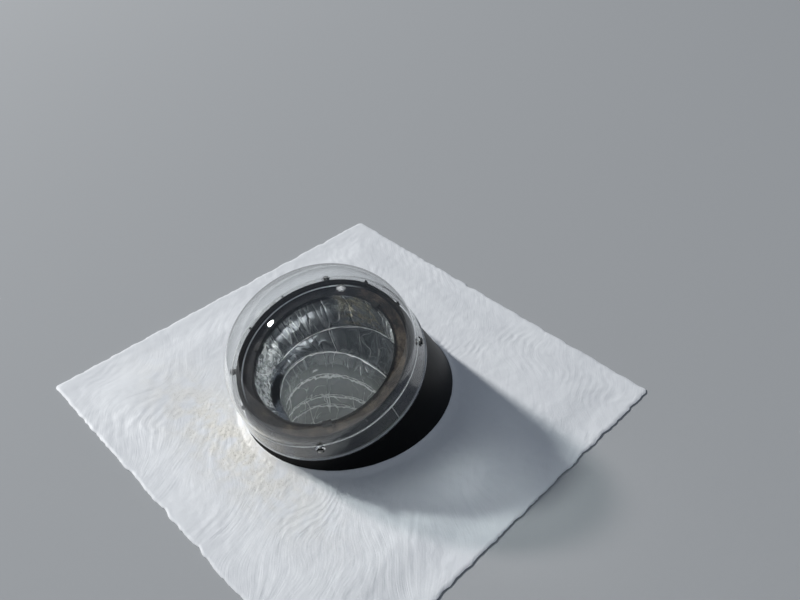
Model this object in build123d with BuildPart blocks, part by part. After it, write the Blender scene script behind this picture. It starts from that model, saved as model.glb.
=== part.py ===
from build123d import *
from math import asin, atan2, cos, degrees, radians, sin, sqrt
import os

# Round tubular roof skylight: a clear cap on a leaning black flashing, a foil light tube below it
# and the ceiling fitting at the tube's lower end. Millimetres, +Z up.
# The origin is the middle of the flashing's flange, on the roof's surface.

# Light tube: its radius sets the round pieces above and below it
tube_radius = 129.0

# Cap seat: the plane that the cap's lower rim lies in leans towards -Y
seat_tilt = 20.6
seat_height = 96.6
seat_shift = -43.0

# Clear cap
cap_margin = 48.0
cap_wall = 2.6
cap_lip_height = 4.0
cap_lip_proud = 1.7
cap_skirt_height = 41.3
cap_skirt_draft = 4.1
cap_step = 1.0
cap_height = 165.0
cap_crown_spare = 54.8
cap_straight = 8.7
pad_radius = 7.5
pad_proud = 2.2

# Cap screws, with a sealing washer under each head
screw_azimuths = (45, 135, 225, 315)
screw_height = 33.0
screw_shank_radius = 2.0
screw_head_radius = 4.2
screw_head_height = 2.8
screw_length = 16.0
screw_slot = 1.2
washer_radius = 5.8
washer_thickness = 1.6

# Flashing: square flange, turret with an oval foot, and the narrower seat that stands in the cap
flange_size = 600.0
flange_thickness = 2.5
flange_corner = 24.0
foot_margin_x = 56.0
foot_margin_y = 76.0
foot_height = 12.0
foot_flare = 8.0
turret_wall = 3.0
turret_top_gap = 2.0
seat_cone_height = 47.4
seat_cone_draft = 13.2
seat_cone_start = -1.0
shelf_top = 32.9
shelf_thickness = 2.5
shelf_reach = 3.5
rib_count = 12
rib_first_azimuth = 15.0
rib_width = 3.2
rib_depth = 7.0
rib_height = 9.0
boss_radius = 5.0
fit_gap = 0.3
thread_gap = 0.05

# Tunnel ring: the dusty ledge round the tube's mouth, with its collar
ledge_width = 23.5
ledge_thickness = 2.5
ledge_bead = 1.6
ledge_bead_height = 0.9
collar_wall = 2.4
collar_length = 30.0
seal_thickness = 1.4
seal_lap = 24.0
seal_proud = 1.6

# Foil light tube with its wire hoops, which crumple out of square
foil = 0.8
tube_lead = 92.0
tube_bend_radius = 145.0
foil_sag = 3.2
hoop_start = 88.0
hoop_pitch = 54.0
hoop_drifts = (0, 26, 35, 23, -1, -8, -16)
hoop_leans = (9, 13, 17, 17, 20, 10, 2)
hoop_sides = (0, 21, 21, 10, 12, 5, 0)
hoop_wire_radius = 0.9
hoop_gap = 0.95
foil_gap = 0.1
tube_end_gap = 3.0
clip_azimuths = (-153, 88, -40)
clip_width = 15.0
clip_leg = 13.0
clip_thickness = 1.8

# Sealant bead, flange screws and the brushed coating over them
sealant_height = 2.0
sealant_width = 24.0
deck_screw_edge = 30.0
deck_screw_rows = 4
deck_screw_radius = 2.1
deck_screw_neck_radius = 2.4
deck_screw_neck_drop = 1.0
deck_screw_head_radius = 5.5
deck_screw_head_height = 1.6
deck_screw_length = 32.0
deck_screw_tip = 6.0
deck_screw_point_radius = 0.2
coating_margin_x = 101.0
coating_margin_y = 95.0
coating_shift_x = -3.3
coating_shift_y = 4.0
coating_thickness = 2.6
coating_over_flange = 2.4
coating_slope = 60.0
coating_corner = 3.0
cove_height = 14.0
cove_width = 14.0
cove_lip = 1.6

# Ceiling fitting
ceiling_level = -360.0
ceiling_board = 12.7
spigot_wall = 2.5
spigot_height = 55.0
ceiling_flange_width = 19.0
ceiling_flange_thickness = 3.0
strap_level = 34.0
strap_width = 9.0
strap_thickness = 0.7
strap_block_length = 16.0
strap_block_depth = 7.0
strap_screw_radius = 2.6
strap_hex_radius = 3.6
strap_screw_length = 24.0
dog_count = 4
dog_margin = 8.0
dog_length = 22.0
dog_width = 13.0
dog_thickness = 4.0
dog_screw_radius = 2.0
dog_screw_head_radius = 4.0
dog_screw_head_height = 2.4
dog_screw_spare = 4.0
trim_margin = 12.0
trim_wall = 3.0
trim_drop = 13.0
trim_upstand = 12.0
lens_thickness = 3.0
lens_lap = 7.0
lens_sag = 8.0
lens_seal_thickness = 2.0

os.makedirs("parts", exist_ok=True)

# Planes and axes of the leaning seat
lean = radians(seat_tilt)
seat_normal = Vector(0, -sin(lean), cos(lean))
seat_centre = Vector(0, seat_shift, seat_height)
seat_axis = Axis(seat_centre, seat_normal)
seat_plane = Plane(origin=seat_centre, x_dir=(1, 0, 0), z_dir=seat_normal)
# Section plane through the seat's axis: x is the radius and y the height above the rim
seat_section = Plane(origin=seat_centre, x_dir=(1, 0, 0), z_dir=(0, -cos(lean), -sin(lean)))


def seat_radial(azimuth, radius, height):
    """Plane on the seat's own cylinder, facing outwards."""
    turn = radians(azimuth)
    outward = seat_plane.x_dir * cos(turn) + seat_plane.y_dir * sin(turn)
    return Plane(
        origin=seat_centre + outward * radius + seat_normal * height,
        x_dir=seat_normal,
        z_dir=outward,
    )


# Cap: skirt and lip, then a knuckle arc into a flatter crown
cap_rim_radius = tube_radius + cap_margin
skirt_foot = cap_rim_radius - cap_lip_proud
skirt_top = skirt_foot - cap_skirt_draft
dome_radius = skirt_top - cap_step
knuckle_height = cap_skirt_height + cap_straight
cap_crown_radius = dome_radius + cap_crown_spare
crown_centre = cap_height - cap_crown_radius
# The knuckle touches the straight wall and the crown: its radius follows from both
rise = knuckle_height - crown_centre
knuckle_radius = (cap_crown_radius**2 - dome_radius**2 - rise**2) / (2 * (cap_crown_radius - dome_radius))
knuckle_centre_x = dome_radius - knuckle_radius
reach = cap_crown_radius - knuckle_radius
across = knuckle_centre_x / reach
upward = rise / reach


def dome_arcs(inset):
    """The dome's half section at a depth below its outer face: straight wall, knuckle and crown."""
    knuckle = knuckle_radius - inset
    crown = cap_crown_radius - inset
    touch = (knuckle_centre_x + knuckle * across, knuckle_height + knuckle * upward)
    half = atan2(upward, across) / 2
    middle = (knuckle_centre_x + knuckle * cos(half), knuckle_height + knuckle * sin(half))
    crest = atan2(across, upward) / 2
    crown_middle = (crown * sin(crest), crown_centre + crown * cos(crest))
    return touch, middle, crown_middle, (0, crown_centre + crown)


outer_touch, outer_middle, outer_crown, outer_top = dome_arcs(0)
inner_touch, inner_middle, inner_crown, inner_top = dome_arcs(cap_wall)
skirt_inner_foot = skirt_foot - cap_wall
dome_inner_radius = dome_radius - cap_wall


def skirt_outer_radius(height):
    share = (height - cap_lip_height) / (cap_skirt_height - cap_lip_height)
    return skirt_foot - cap_skirt_draft * share


def skirt_inner_radius(height):
    return skirt_inner_foot - (skirt_inner_foot - dome_inner_radius) * height / cap_skirt_height


pad_face = skirt_outer_radius(screw_height) + pad_proud

with BuildPart() as dome_cap:
    with BuildSketch(seat_section):
        with BuildLine():
            Polyline(
                (skirt_inner_foot, 0),
                (cap_rim_radius, 0),
                (cap_rim_radius, cap_lip_height),
                (skirt_foot, cap_lip_height),
                (skirt_top, cap_skirt_height),
                (dome_radius, cap_skirt_height),
                (dome_radius, knuckle_height),
            )
            ThreePointArc((dome_radius, knuckle_height), outer_middle, outer_touch)
            ThreePointArc(outer_touch, outer_crown, outer_top)
            Line(outer_top, inner_top)
            ThreePointArc(inner_top, inner_crown, inner_touch)
            ThreePointArc(inner_touch, inner_middle, (dome_inner_radius, knuckle_height))
            Polyline(
                (dome_inner_radius, knuckle_height),
                (dome_inner_radius, cap_skirt_height),
                (skirt_inner_foot, 0),
            )
        make_face()
    revolve(axis=seat_axis)
    # flat pads that the washers seal on
    for azimuth in screw_azimuths:
        pad_root = skirt_inner_radius(screw_height) + cap_wall / 2
        with BuildSketch(seat_radial(azimuth, pad_root, screw_height)):
            Circle(pad_radius)
        extrude(amount=pad_face - pad_root)
        with BuildSketch(seat_radial(azimuth, pad_face, screw_height)):
            Circle(screw_shank_radius + fit_gap)
        extrude(amount=-(pad_face - pad_root) - 3 * cap_wall, mode=Mode.SUBTRACT)
dome_cap.part.label = "dome_cap"
export_step(dome_cap.part, "parts/dome_cap.step")

with BuildPart() as cap_washers:
    for azimuth in screw_azimuths:
        with BuildSketch(seat_radial(azimuth, pad_face, screw_height)):
            Circle(washer_radius)
            Circle(screw_shank_radius, mode=Mode.SUBTRACT)
        extrude(amount=washer_thickness)
cap_washers.part.label = "cap_washers"
export_step(cap_washers.part, "parts/cap_washers.step")

# Pan-head screws: a shallow domed head with one slot, and the shank into the turret's boss
head_seat = pad_face + washer_thickness
with BuildPart() as cap_screws:
    for azimuth in screw_azimuths:
        with BuildSketch(seat_radial(azimuth, head_seat, screw_height)):
            Circle(screw_head_radius)
        extrude(amount=screw_head_height, taper=18)
        with BuildSketch(seat_radial(azimuth, head_seat + screw_head_height, screw_height)):
            Rectangle(screw_slot, 2 * screw_head_radius)
        extrude(amount=-screw_head_height / 2, mode=Mode.SUBTRACT)
        with BuildSketch(seat_radial(azimuth, head_seat, screw_height)):
            Circle(screw_shank_radius)
        extrude(amount=-screw_length)
cap_screws.part.label = "cap_screws"
export_step(cap_screws.part, "parts/cap_screws.step")

# Places of the flange screws: a row along each of the four sides, the corners shared
deck_screw_span = flange_size - 2 * deck_screw_edge
deck_screw_pitch = deck_screw_span / (deck_screw_rows - 1)
deck_places = []
for column in range(deck_screw_rows):
    for row in range(deck_screw_rows):
        on_side = column in (0, deck_screw_rows - 1) or row in (0, deck_screw_rows - 1)
        if on_side:
            place_x = column * deck_screw_pitch - deck_screw_span / 2
            place_y = row * deck_screw_pitch - deck_screw_span / 2
            deck_places.append((place_x, place_y))

# Flashing: the flange, the turret lofted from its oval foot to the round seat, and the seat cone
flange_base = sealant_height
foot_half_x = tube_radius + foot_margin_x
foot_half_y = tube_radius + foot_margin_y
ledge_outer_radius = tube_radius + ledge_width
shelf_inner_radius = ledge_outer_radius - shelf_reach
flange_top = flange_base + flange_thickness
turret_top_radius = skirt_inner_foot - turret_top_gap
seat_top_radius = turret_top_radius - seat_cone_draft
cone_rise = seat_cone_height - seat_cone_start


def seat_cone_radius(height):
    return turret_top_radius - seat_cone_draft * (height - seat_cone_start) / cone_rise


foot_plane = Plane.XY.offset(foot_height)
seat_foot_plane = seat_plane.offset(seat_cone_start)
shelf_bottom = shelf_top - shelf_thickness
boss_face = skirt_inner_radius(screw_height + boss_radius) - fit_gap
boss_root = seat_cone_radius(screw_height + boss_radius) - fit_gap

with BuildPart() as turret_outer:
    with BuildSketch(Plane.XY.offset(flange_base)):
        Ellipse(foot_half_x + foot_flare, foot_half_y + foot_flare)
    with BuildSketch(foot_plane):
        Ellipse(foot_half_x, foot_half_y)
    with BuildSketch(seat_foot_plane):
        Circle(turret_top_radius)
    loft(ruled=True)

with BuildPart() as turret_inner:
    with BuildSketch(Plane.XY.offset(flange_base)):
        Ellipse(foot_half_x + foot_flare - turret_wall, foot_half_y + foot_flare - turret_wall)
    with BuildSketch(foot_plane):
        Ellipse(foot_half_x - turret_wall, foot_half_y - turret_wall)
    with BuildSketch(seat_foot_plane):
        Circle(turret_top_radius - turret_wall)
    loft(ruled=True)

with BuildPart() as flashing:
    with BuildSketch(Plane.XY.offset(flange_base)):
        RectangleRounded(flange_size, flange_size, flange_corner)
    extrude(amount=flange_thickness)
    add(turret_outer.part)
    add(turret_inner.part, mode=Mode.SUBTRACT)
    # the seat: a cone with a rolled-in top edge and a shelf for the tunnel ring inside
    with BuildSketch(seat_section):
        with BuildLine():
            Polyline(
                (turret_top_radius - turret_wall, seat_cone_start),
                (turret_top_radius, seat_cone_start),
                (seat_top_radius, seat_cone_height - turret_wall / 2),
            )
            ThreePointArc(
                (seat_top_radius, seat_cone_height - turret_wall / 2),
                (seat_top_radius - turret_wall / 2, seat_cone_height),
                (seat_top_radius - turret_wall, seat_cone_height - turret_wall / 2),
            )
            Polyline(
                (seat_top_radius - turret_wall, seat_cone_height - turret_wall / 2),
                (seat_cone_radius(shelf_top) - turret_wall, shelf_top),
                (shelf_inner_radius, shelf_top),
                (shelf_inner_radius, shelf_bottom),
                (seat_cone_radius(shelf_bottom) - turret_wall, shelf_bottom),
                (turret_top_radius - turret_wall, seat_cone_start),
            )
        make_face()
    revolve(axis=seat_axis)
    # small upright ribs that centre the cap, left out where a screw boss stands
    rib_step = 360 / rib_count
    for index in range(rib_count):
        azimuth = rib_first_azimuth + index * rib_step
        beside_boss = min(abs(azimuth - other) for other in screw_azimuths) < rib_step / 4
        if not beside_boss:
            turn = radians(azimuth)
            middle = seat_top_radius - turret_wall / 2 + rib_depth / 2
            rib_plane = seat_plane.offset(seat_cone_height - turret_wall / 2 - rib_height)
            rib_place = Plane(
                origin=rib_plane.from_local_coords(Vector(middle * cos(turn), middle * sin(turn), 0)),
                x_dir=seat_plane.x_dir * cos(turn) + seat_plane.y_dir * sin(turn),
                z_dir=seat_normal,
            )
            with BuildSketch(rib_place):
                Rectangle(rib_depth, rib_width)
            extrude(amount=rib_height)
    for azimuth in screw_azimuths:
        with BuildSketch(seat_radial(azimuth, boss_root, screw_height)):
            Circle(boss_radius)
        extrude(amount=boss_face - boss_root)
        with BuildSketch(seat_radial(azimuth, boss_face, screw_height)):
            Circle(screw_shank_radius + thread_gap)
        extrude(amount=-(boss_face - head_seat + screw_length + fit_gap), mode=Mode.SUBTRACT)
    # holes for the flange screws
    with BuildSketch(Plane.XY.offset(flange_base)):
        with Locations(*deck_places):
            Circle(deck_screw_neck_radius + thread_gap)
    extrude(amount=flange_thickness, mode=Mode.SUBTRACT)
flashing.part.label = "flashing"
export_step(flashing.part, "parts/flashing.step")

# Tunnel ring: a ledge on the turret's shelf and a collar down round the tube
seal_outer_radius = tube_radius + foil_gap + seal_thickness
collar_inner_radius = seal_outer_radius + foil_gap
collar_outer_radius = collar_inner_radius + collar_wall
ledge_top = shelf_top + ledge_thickness
bead_top = ledge_top + ledge_bead_height
with BuildPart() as tunnel_ring:
    with BuildSketch(seat_section):
        with BuildLine():
            Polyline(
                (collar_inner_radius, shelf_top - collar_length),
                (collar_outer_radius, shelf_top - collar_length),
                (collar_outer_radius, shelf_top),
                (ledge_outer_radius, shelf_top),
                (ledge_outer_radius, bead_top),
                (ledge_outer_radius - ledge_bead, bead_top),
                (ledge_outer_radius - 2 * ledge_bead, ledge_top),
                (collar_inner_radius + 2 * ledge_bead, ledge_top),
                (collar_inner_radius + ledge_bead, bead_top),
                (collar_inner_radius, bead_top),
                close=True,
            )
        make_face()
    revolve(axis=seat_axis)
tunnel_ring.part.label = "tunnel_ring"
export_step(tunnel_ring.part, "parts/tunnel_ring.step")

# Rubber seal between the foil and the collar, rolled over the collar's inner bead
seal_top = bead_top + seal_proud
with BuildPart() as tunnel_seal:
    with BuildSketch(seat_section):
        with BuildLine():
            Polyline(
                (tube_radius + foil_gap, seal_top - seal_lap),
                (seal_outer_radius, seal_top - seal_lap),
                (seal_outer_radius, bead_top),
                (collar_inner_radius + ledge_bead, bead_top),
            )
            ThreePointArc(
                (collar_inner_radius + ledge_bead, bead_top),
                ((tube_radius + foil_gap + collar_inner_radius + ledge_bead) / 2, seal_top),
                (tube_radius + foil_gap, bead_top),
            )
            Line((tube_radius + foil_gap, bead_top), (tube_radius + foil_gap, seal_top - seal_lap))
        make_face()
    revolve(axis=seat_axis)
tunnel_seal.part.label = "tunnel_seal"
export_step(tunnel_seal.part, "parts/tunnel_seal.step")

# Light tube: straight down the seat's axis, round an easy bend, then upright to the ceiling
tube_top = bead_top - fit_gap
tube_start = seat_centre + seat_normal * tube_top
bend_start = tube_start - seat_normal * tube_lead
bend_end = Vector(
    0,
    bend_start.Y + tube_bend_radius * (1 - cos(lean)),
    bend_start.Z - tube_bend_radius * sin(lean),
)
bend_length = tube_bend_radius * lean
ceiling_y = bend_end.Y
spigot_base = ceiling_level - ceiling_flange_thickness
spigot_top = ceiling_level + spigot_height
tube_end = ceiling_level + tube_end_gap
tube_length = tube_lead + bend_length + bend_end.Z - tube_end


def tube_plane(distance, hoop_lean=0, hoop_side=0):
    """Plane across the tube at a distance below its mouth, leaned front to back and to the side."""
    if distance <= tube_lead:
        centre = tube_start - seat_normal * distance
        tilt = lean
    elif distance <= tube_lead + bend_length:
        tilt = lean - (distance - tube_lead) / tube_bend_radius
        centre = Vector(
            0,
            bend_start.Y + tube_bend_radius * (cos(tilt) - cos(lean)),
            bend_start.Z - tube_bend_radius * (sin(lean) - sin(tilt)),
        )
    else:
        centre = Vector(0, ceiling_y, bend_end.Z - (distance - tube_lead - bend_length))
        tilt = 0
    turned = tilt - radians(hoop_lean)
    upright = Plane(origin=centre, x_dir=(1, 0, 0), z_dir=(0, -sin(turned), cos(turned)))
    return upright.rotated((0, hoop_side, 0))


# the hoops stand over the tube's free length, above the stretch that is strapped on the spigot
lap_start = tube_length - spigot_height + tube_end_gap
hoop_count = 1 + int((lap_start - hoop_pitch / 2 - hoop_start) / hoop_pitch)
hoops = []
for index in range(hoop_count):
    turn = index % len(hoop_leans)
    distance = hoop_start + index * hoop_pitch + hoop_drifts[turn]
    hoops.append((distance, hoop_leans[turn], hoop_sides[turn]))
# sections down the tube: its mouth, then by turns a hoop and the slack half way to the next one
stops = [(collar_length, 0, 0)] + hoops + [(lap_start, 0, 0)]
sections = [(0, 0, 0, 0), (collar_length, 0, 0, 0)]
for above, below in zip(stops, stops[1:]):
    slack = [(upper + lower) / 2 for upper, lower in zip(above, below)]
    sections.append((*slack, foil_sag))
    sections.append((*below, 0))
sections.append((tube_length, 0, 0, 0))

with BuildPart() as tube_bore:
    for distance, hoop_lean, hoop_side, sag in sections:
        with BuildSketch(tube_plane(distance, hoop_lean, hoop_side)):
            Circle(tube_radius - sag - foil)
    loft(ruled=True)

with BuildPart() as light_tube:
    for distance, hoop_lean, hoop_side, sag in sections:
        with BuildSketch(tube_plane(distance, hoop_lean, hoop_side)):
            Circle(tube_radius - sag)
    loft(ruled=True)
    add(tube_bore.part, mode=Mode.SUBTRACT)
light_tube.part.label = "light_tube"
export_step(light_tube.part, "parts/light_tube.step")

with BuildPart() as tube_hoops:
    for distance, hoop_lean, hoop_side in hoops:
        with Locations(tube_plane(distance, hoop_lean, hoop_side)):
            Torus(tube_radius + hoop_gap + hoop_wire_radius, hoop_wire_radius)
tube_hoops.part.label = "tube_hoops"
export_step(tube_hoops.part, "parts/tube_hoops.step")

# Clips that hold the foil's top edge against the collar: a leg inside, a bridge and a short foot
clip_inner = tube_radius - foil - foil_gap
clip_outer = collar_inner_radius + 2 * ledge_bead + clip_thickness
clip_bridge = seal_top + foil_gap
with BuildPart() as tube_clips:
    for azimuth in clip_azimuths:
        turn = radians(azimuth - degrees(clip_width / 2 / tube_radius))
        across_dir = seat_plane.x_dir * cos(turn) + seat_plane.y_dir * sin(turn)
        clip_section = Plane(origin=seat_centre, x_dir=across_dir, z_dir=across_dir.cross(seat_normal))
        with BuildSketch(clip_section):
            with BuildLine():
                Polyline(
                    (clip_inner, clip_bridge + clip_thickness - clip_leg),
                    (clip_inner, clip_bridge),
                    (clip_outer - clip_thickness, clip_bridge),
                    (clip_outer - clip_thickness, ledge_top),
                    (clip_outer, ledge_top),
                    (clip_outer, clip_bridge + clip_thickness),
                    (clip_inner - clip_thickness, clip_bridge + clip_thickness),
                    (clip_inner - clip_thickness, clip_bridge + clip_thickness - clip_leg),
                    close=True,
                )
            make_face()
        revolve(axis=seat_axis, revolution_arc=degrees(clip_width / tube_radius))
tube_clips.part.label = "tube_clips"
export_step(tube_clips.part, "parts/tube_clips.step")

# Sealant bead under the flange, on the line of its screws
with BuildPart() as flange_sealant:
    with BuildSketch():
        bead_outer = deck_screw_span + sealant_width
        bead_inner = deck_screw_span - sealant_width
        RectangleRounded(bead_outer, bead_outer, flange_corner)
        RectangleRounded(bead_inner, bead_inner, flange_corner / 2, mode=Mode.SUBTRACT)
        with Locations(*deck_places):
            Circle(deck_screw_neck_radius + thread_gap, mode=Mode.SUBTRACT)
    extrude(amount=sealant_height)
flange_sealant.part.label = "flange_sealant"
export_step(flange_sealant.part, "parts/flange_sealant.step")

# Wafer-head screws: a plain neck through the flange and the bead, then the thread in the roof deck
neck_end = Plane.XY.offset(-deck_screw_neck_drop)
shank_end = Plane.XY.offset(flange_top - deck_screw_length + deck_screw_tip)
with BuildPart() as flange_screws:
    with BuildSketch(Plane.XY.offset(flange_top)):
        with Locations(*deck_places):
            Circle(deck_screw_head_radius)
    extrude(amount=deck_screw_head_height, taper=40)
    with BuildSketch(Plane.XY.offset(flange_top)):
        with Locations(*deck_places):
            Circle(deck_screw_neck_radius)
    extrude(amount=-(flange_top + deck_screw_neck_drop))
    with BuildSketch(neck_end):
        with Locations(*deck_places):
            Circle(deck_screw_radius)
    extrude(amount=shank_end.origin.Z - neck_end.origin.Z)
    for place in deck_places:
        with Locations(shank_end.offset(-deck_screw_tip / 2)):
            with Locations(place):
                Cone(deck_screw_point_radius, deck_screw_radius, deck_screw_tip)
flange_screws.part.label = "flange_screws"
export_step(flange_screws.part, "parts/flange_screws.step")

# Coating: brushed over the roof, the flange and its screws, and up the turret's foot in a cove
coating_top = flange_top + coating_over_flange
coating_centre = (coating_shift_x, coating_shift_y)
coating_size_x = flange_size + 2 * coating_margin_x
coating_size_y = flange_size + 2 * coating_margin_y
with BuildPart() as roof_coating:
    with BuildSketch():
        with Locations(coating_centre):
            RectangleRounded(coating_size_x, coating_size_y, coating_corner)
    extrude(amount=coating_thickness)
    with BuildSketch(Plane.XY.offset(coating_thickness)):
        plateau_foot = flange_size + 2 * coating_slope
        RectangleRounded(plateau_foot, plateau_foot, flange_corner + coating_slope)
    with BuildSketch(Plane.XY.offset(coating_top)):
        plateau = flange_size + 2 * coating_over_flange
        RectangleRounded(plateau, plateau, flange_corner + coating_over_flange)
    loft(ruled=True)
    with BuildSketch(Plane.XY.offset(coating_top)):
        Ellipse(foot_half_x + cove_width, foot_half_y + cove_width)
    with BuildSketch(Plane.XY.offset(cove_height)):
        Ellipse(foot_half_x + cove_lip, foot_half_y + cove_lip)
    loft(ruled=True)
    with BuildSketch():
        RectangleRounded(flange_size, flange_size, flange_corner)
    extrude(amount=flange_top, mode=Mode.SUBTRACT)
    with BuildSketch(Plane.XY.offset(flange_top)):
        with Locations(*deck_places):
            Circle(deck_screw_head_radius)
    extrude(amount=deck_screw_head_height, mode=Mode.SUBTRACT)
    add(turret_outer.part, mode=Mode.SUBTRACT)
roof_coating.part.label = "roof_coating"
export_step(roof_coating.part, "parts/roof_coating.step")

# Ceiling fitting, on the upright axis that the tube ends on
ceiling_axis = Axis((0, ceiling_y, 0), (0, 0, 1))
ceiling_section = Plane(origin=(0, ceiling_y, 0), x_dir=(1, 0, 0), z_dir=(0, -1, 0))
spigot_outer_radius = tube_radius - foil - foil_gap
spigot_inner_radius = spigot_outer_radius - spigot_wall
ceiling_flange_radius = tube_radius + ceiling_flange_width
dog_circle_radius = tube_radius + dog_margin
dog_places = PolarLocations(dog_circle_radius, dog_count, start_angle=45).locations
ceiling_plane = Plane(origin=(0, ceiling_y, ceiling_level))

with BuildPart() as ceiling_ring:
    with BuildSketch(ceiling_section):
        with BuildLine():
            Polyline(
                (spigot_inner_radius, spigot_base),
                (ceiling_flange_radius, spigot_base),
                (ceiling_flange_radius, ceiling_level),
                (spigot_outer_radius, ceiling_level),
                (spigot_outer_radius, spigot_top),
                (spigot_inner_radius, spigot_top),
                close=True,
            )
        make_face()
    revolve(axis=ceiling_axis)
    with BuildSketch(ceiling_plane):
        with Locations(*dog_places):
            Circle(dog_screw_radius + fit_gap)
    extrude(amount=-ceiling_flange_thickness, mode=Mode.SUBTRACT)
ceiling_ring.part.label = "ceiling_ring"
export_step(ceiling_ring.part, "parts/ceiling_ring.step")

# Swing clamps that grip the back of the ceiling board, each on its own screw
dog_level = ceiling_plane.offset(ceiling_board)
with BuildPart() as ceiling_dogs:
    with BuildSketch(dog_level):
        with Locations(*dog_places):
            with Locations((dog_length / 2 - dog_width / 2, 0)):
                SlotOverall(dog_length, dog_width)
            Circle(dog_screw_radius + thread_gap, mode=Mode.SUBTRACT)
    extrude(amount=dog_thickness)
ceiling_dogs.part.label = "ceiling_dogs"
export_step(ceiling_dogs.part, "parts/ceiling_dogs.step")

with BuildPart() as dog_screws:
    with BuildSketch(ceiling_plane.offset(-ceiling_flange_thickness)):
        with Locations(*dog_places):
            Circle(dog_screw_head_radius)
    extrude(amount=-dog_screw_head_height, taper=15)
    with BuildSketch(ceiling_plane.offset(-ceiling_flange_thickness)):
        with Locations(*dog_places):
            Circle(dog_screw_radius)
    extrude(amount=ceiling_flange_thickness + ceiling_board + dog_thickness + dog_screw_spare)
dog_screws.part.label = "dog_screws"
export_step(dog_screws.part, "parts/dog_screws.step")

# Band clamp round the foil and the spigot, with its worm screw in a small block
strap_inner = tube_radius + foil_gap
strap_outer = strap_inner + strap_thickness
strap_plane = ceiling_plane.offset(strap_level)
block_middle = strap_outer + strap_block_depth / 2
with BuildPart() as tube_strap:
    with BuildSketch(strap_plane):
        Circle(strap_outer)
        Circle(strap_inner, mode=Mode.SUBTRACT)
    extrude(amount=strap_width)
    with BuildSketch(strap_plane):
        with Locations((block_middle - strap_thickness / 2, 0)):
            Rectangle(strap_block_depth + strap_thickness, strap_block_length)
        Circle(strap_inner, mode=Mode.SUBTRACT)
    extrude(amount=strap_width)
    screw_level = ceiling_level + strap_level + strap_width / 2
    screw_line = Plane(
        origin=(block_middle, ceiling_y - strap_block_length / 2, screw_level),
        x_dir=(1, 0, 0),
        z_dir=(0, 1, 0),
    )
    with BuildSketch(screw_line):
        Circle(strap_screw_radius + thread_gap)
    extrude(amount=strap_block_length, mode=Mode.SUBTRACT)
tube_strap.part.label = "tube_strap"
export_step(tube_strap.part, "parts/tube_strap.step")

with BuildPart() as strap_screw:
    with BuildSketch(screw_line.offset(strap_block_length - strap_screw_length)):
        RegularPolygon(strap_hex_radius, 6)
    extrude(amount=strap_screw_length - strap_block_length - foil_gap)
    with BuildSketch(screw_line.offset(-foil_gap)):
        Circle(strap_screw_radius)
    extrude(amount=strap_block_length + foil_gap)
strap_screw.part.label = "strap_screw"
export_step(strap_screw.part, "parts/strap_screw.step")

# Trim ring: it covers the flange from below, plugs into the spigot and carries the lens
trim_bottom = ceiling_level - trim_drop
trim_radius = ceiling_flange_radius + trim_margin
plate_top = trim_bottom + trim_wall
upstand_outer = spigot_inner_radius - fit_gap
upstand_inner = upstand_outer - trim_wall
lens_radius = upstand_inner - fit_gap
lens_hole = lens_radius - lens_lap
with BuildPart() as trim_ring:
    with BuildSketch(ceiling_section):
        with BuildLine():
            Polyline(
                (upstand_inner, plate_top),
                (upstand_inner, ceiling_level + trim_upstand),
                (upstand_outer, ceiling_level + trim_upstand),
                (upstand_outer, plate_top),
                (trim_radius - trim_wall, plate_top),
                (trim_radius - trim_wall, ceiling_level),
                (trim_radius, ceiling_level),
                (trim_radius, trim_bottom + trim_wall),
            )
            ThreePointArc(
                (trim_radius, trim_bottom + trim_wall),
                (trim_radius - trim_wall * (1 - sqrt(0.5)), trim_bottom + trim_wall * (1 - sqrt(0.5))),
                (trim_radius - trim_wall, trim_bottom),
            )
            Polyline(
                (trim_radius - trim_wall, trim_bottom),
                (lens_hole + trim_wall, trim_bottom),
                (lens_hole, plate_top),
                (upstand_inner, plate_top),
            )
        make_face()
    revolve(axis=ceiling_axis)
trim_ring.part.label = "trim_ring"
export_step(trim_ring.part, "parts/trim_ring.step")

# Frosted lens, flat at its edge and dished downwards inside the trim ring's opening
dish_edge = lens_hole - fit_gap
dish_radius = (dish_edge**2 + lens_sag**2) / (2 * lens_sag)
half_turn = asin(dish_edge / dish_radius) / 2
dish_middle = (dish_radius * sin(half_turn), plate_top - lens_sag + dish_radius * (1 - cos(half_turn)))
with BuildPart() as diffuser:
    with BuildSketch(ceiling_section):
        with BuildLine():
            ThreePointArc((0, plate_top - lens_sag), dish_middle, (dish_edge, plate_top))
            Polyline(
                (dish_edge, plate_top),
                (lens_radius, plate_top),
                (lens_radius, plate_top + lens_thickness),
                (dish_edge, plate_top + lens_thickness),
            )
            ThreePointArc(
                (dish_edge, plate_top + lens_thickness),
                (dish_middle[0], dish_middle[1] + lens_thickness),
                (0, plate_top - lens_sag + lens_thickness),
            )
            Line((0, plate_top - lens_sag + lens_thickness), (0, plate_top - lens_sag))
        make_face()
    revolve(axis=ceiling_axis)
diffuser.part.label = "diffuser"
export_step(diffuser.part, "parts/diffuser.step")

with BuildPart() as lens_seal:
    with BuildSketch(Plane(origin=(0, ceiling_y, plate_top + lens_thickness))):
        Circle(lens_radius)
        Circle(lens_hole, mode=Mode.SUBTRACT)
    extrude(amount=lens_seal_thickness)
lens_seal.part.label = "lens_seal"
export_step(lens_seal.part, "parts/lens_seal.step")
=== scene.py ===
import math
import bmesh
import bpy
import numpy as np
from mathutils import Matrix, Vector, noise


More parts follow.
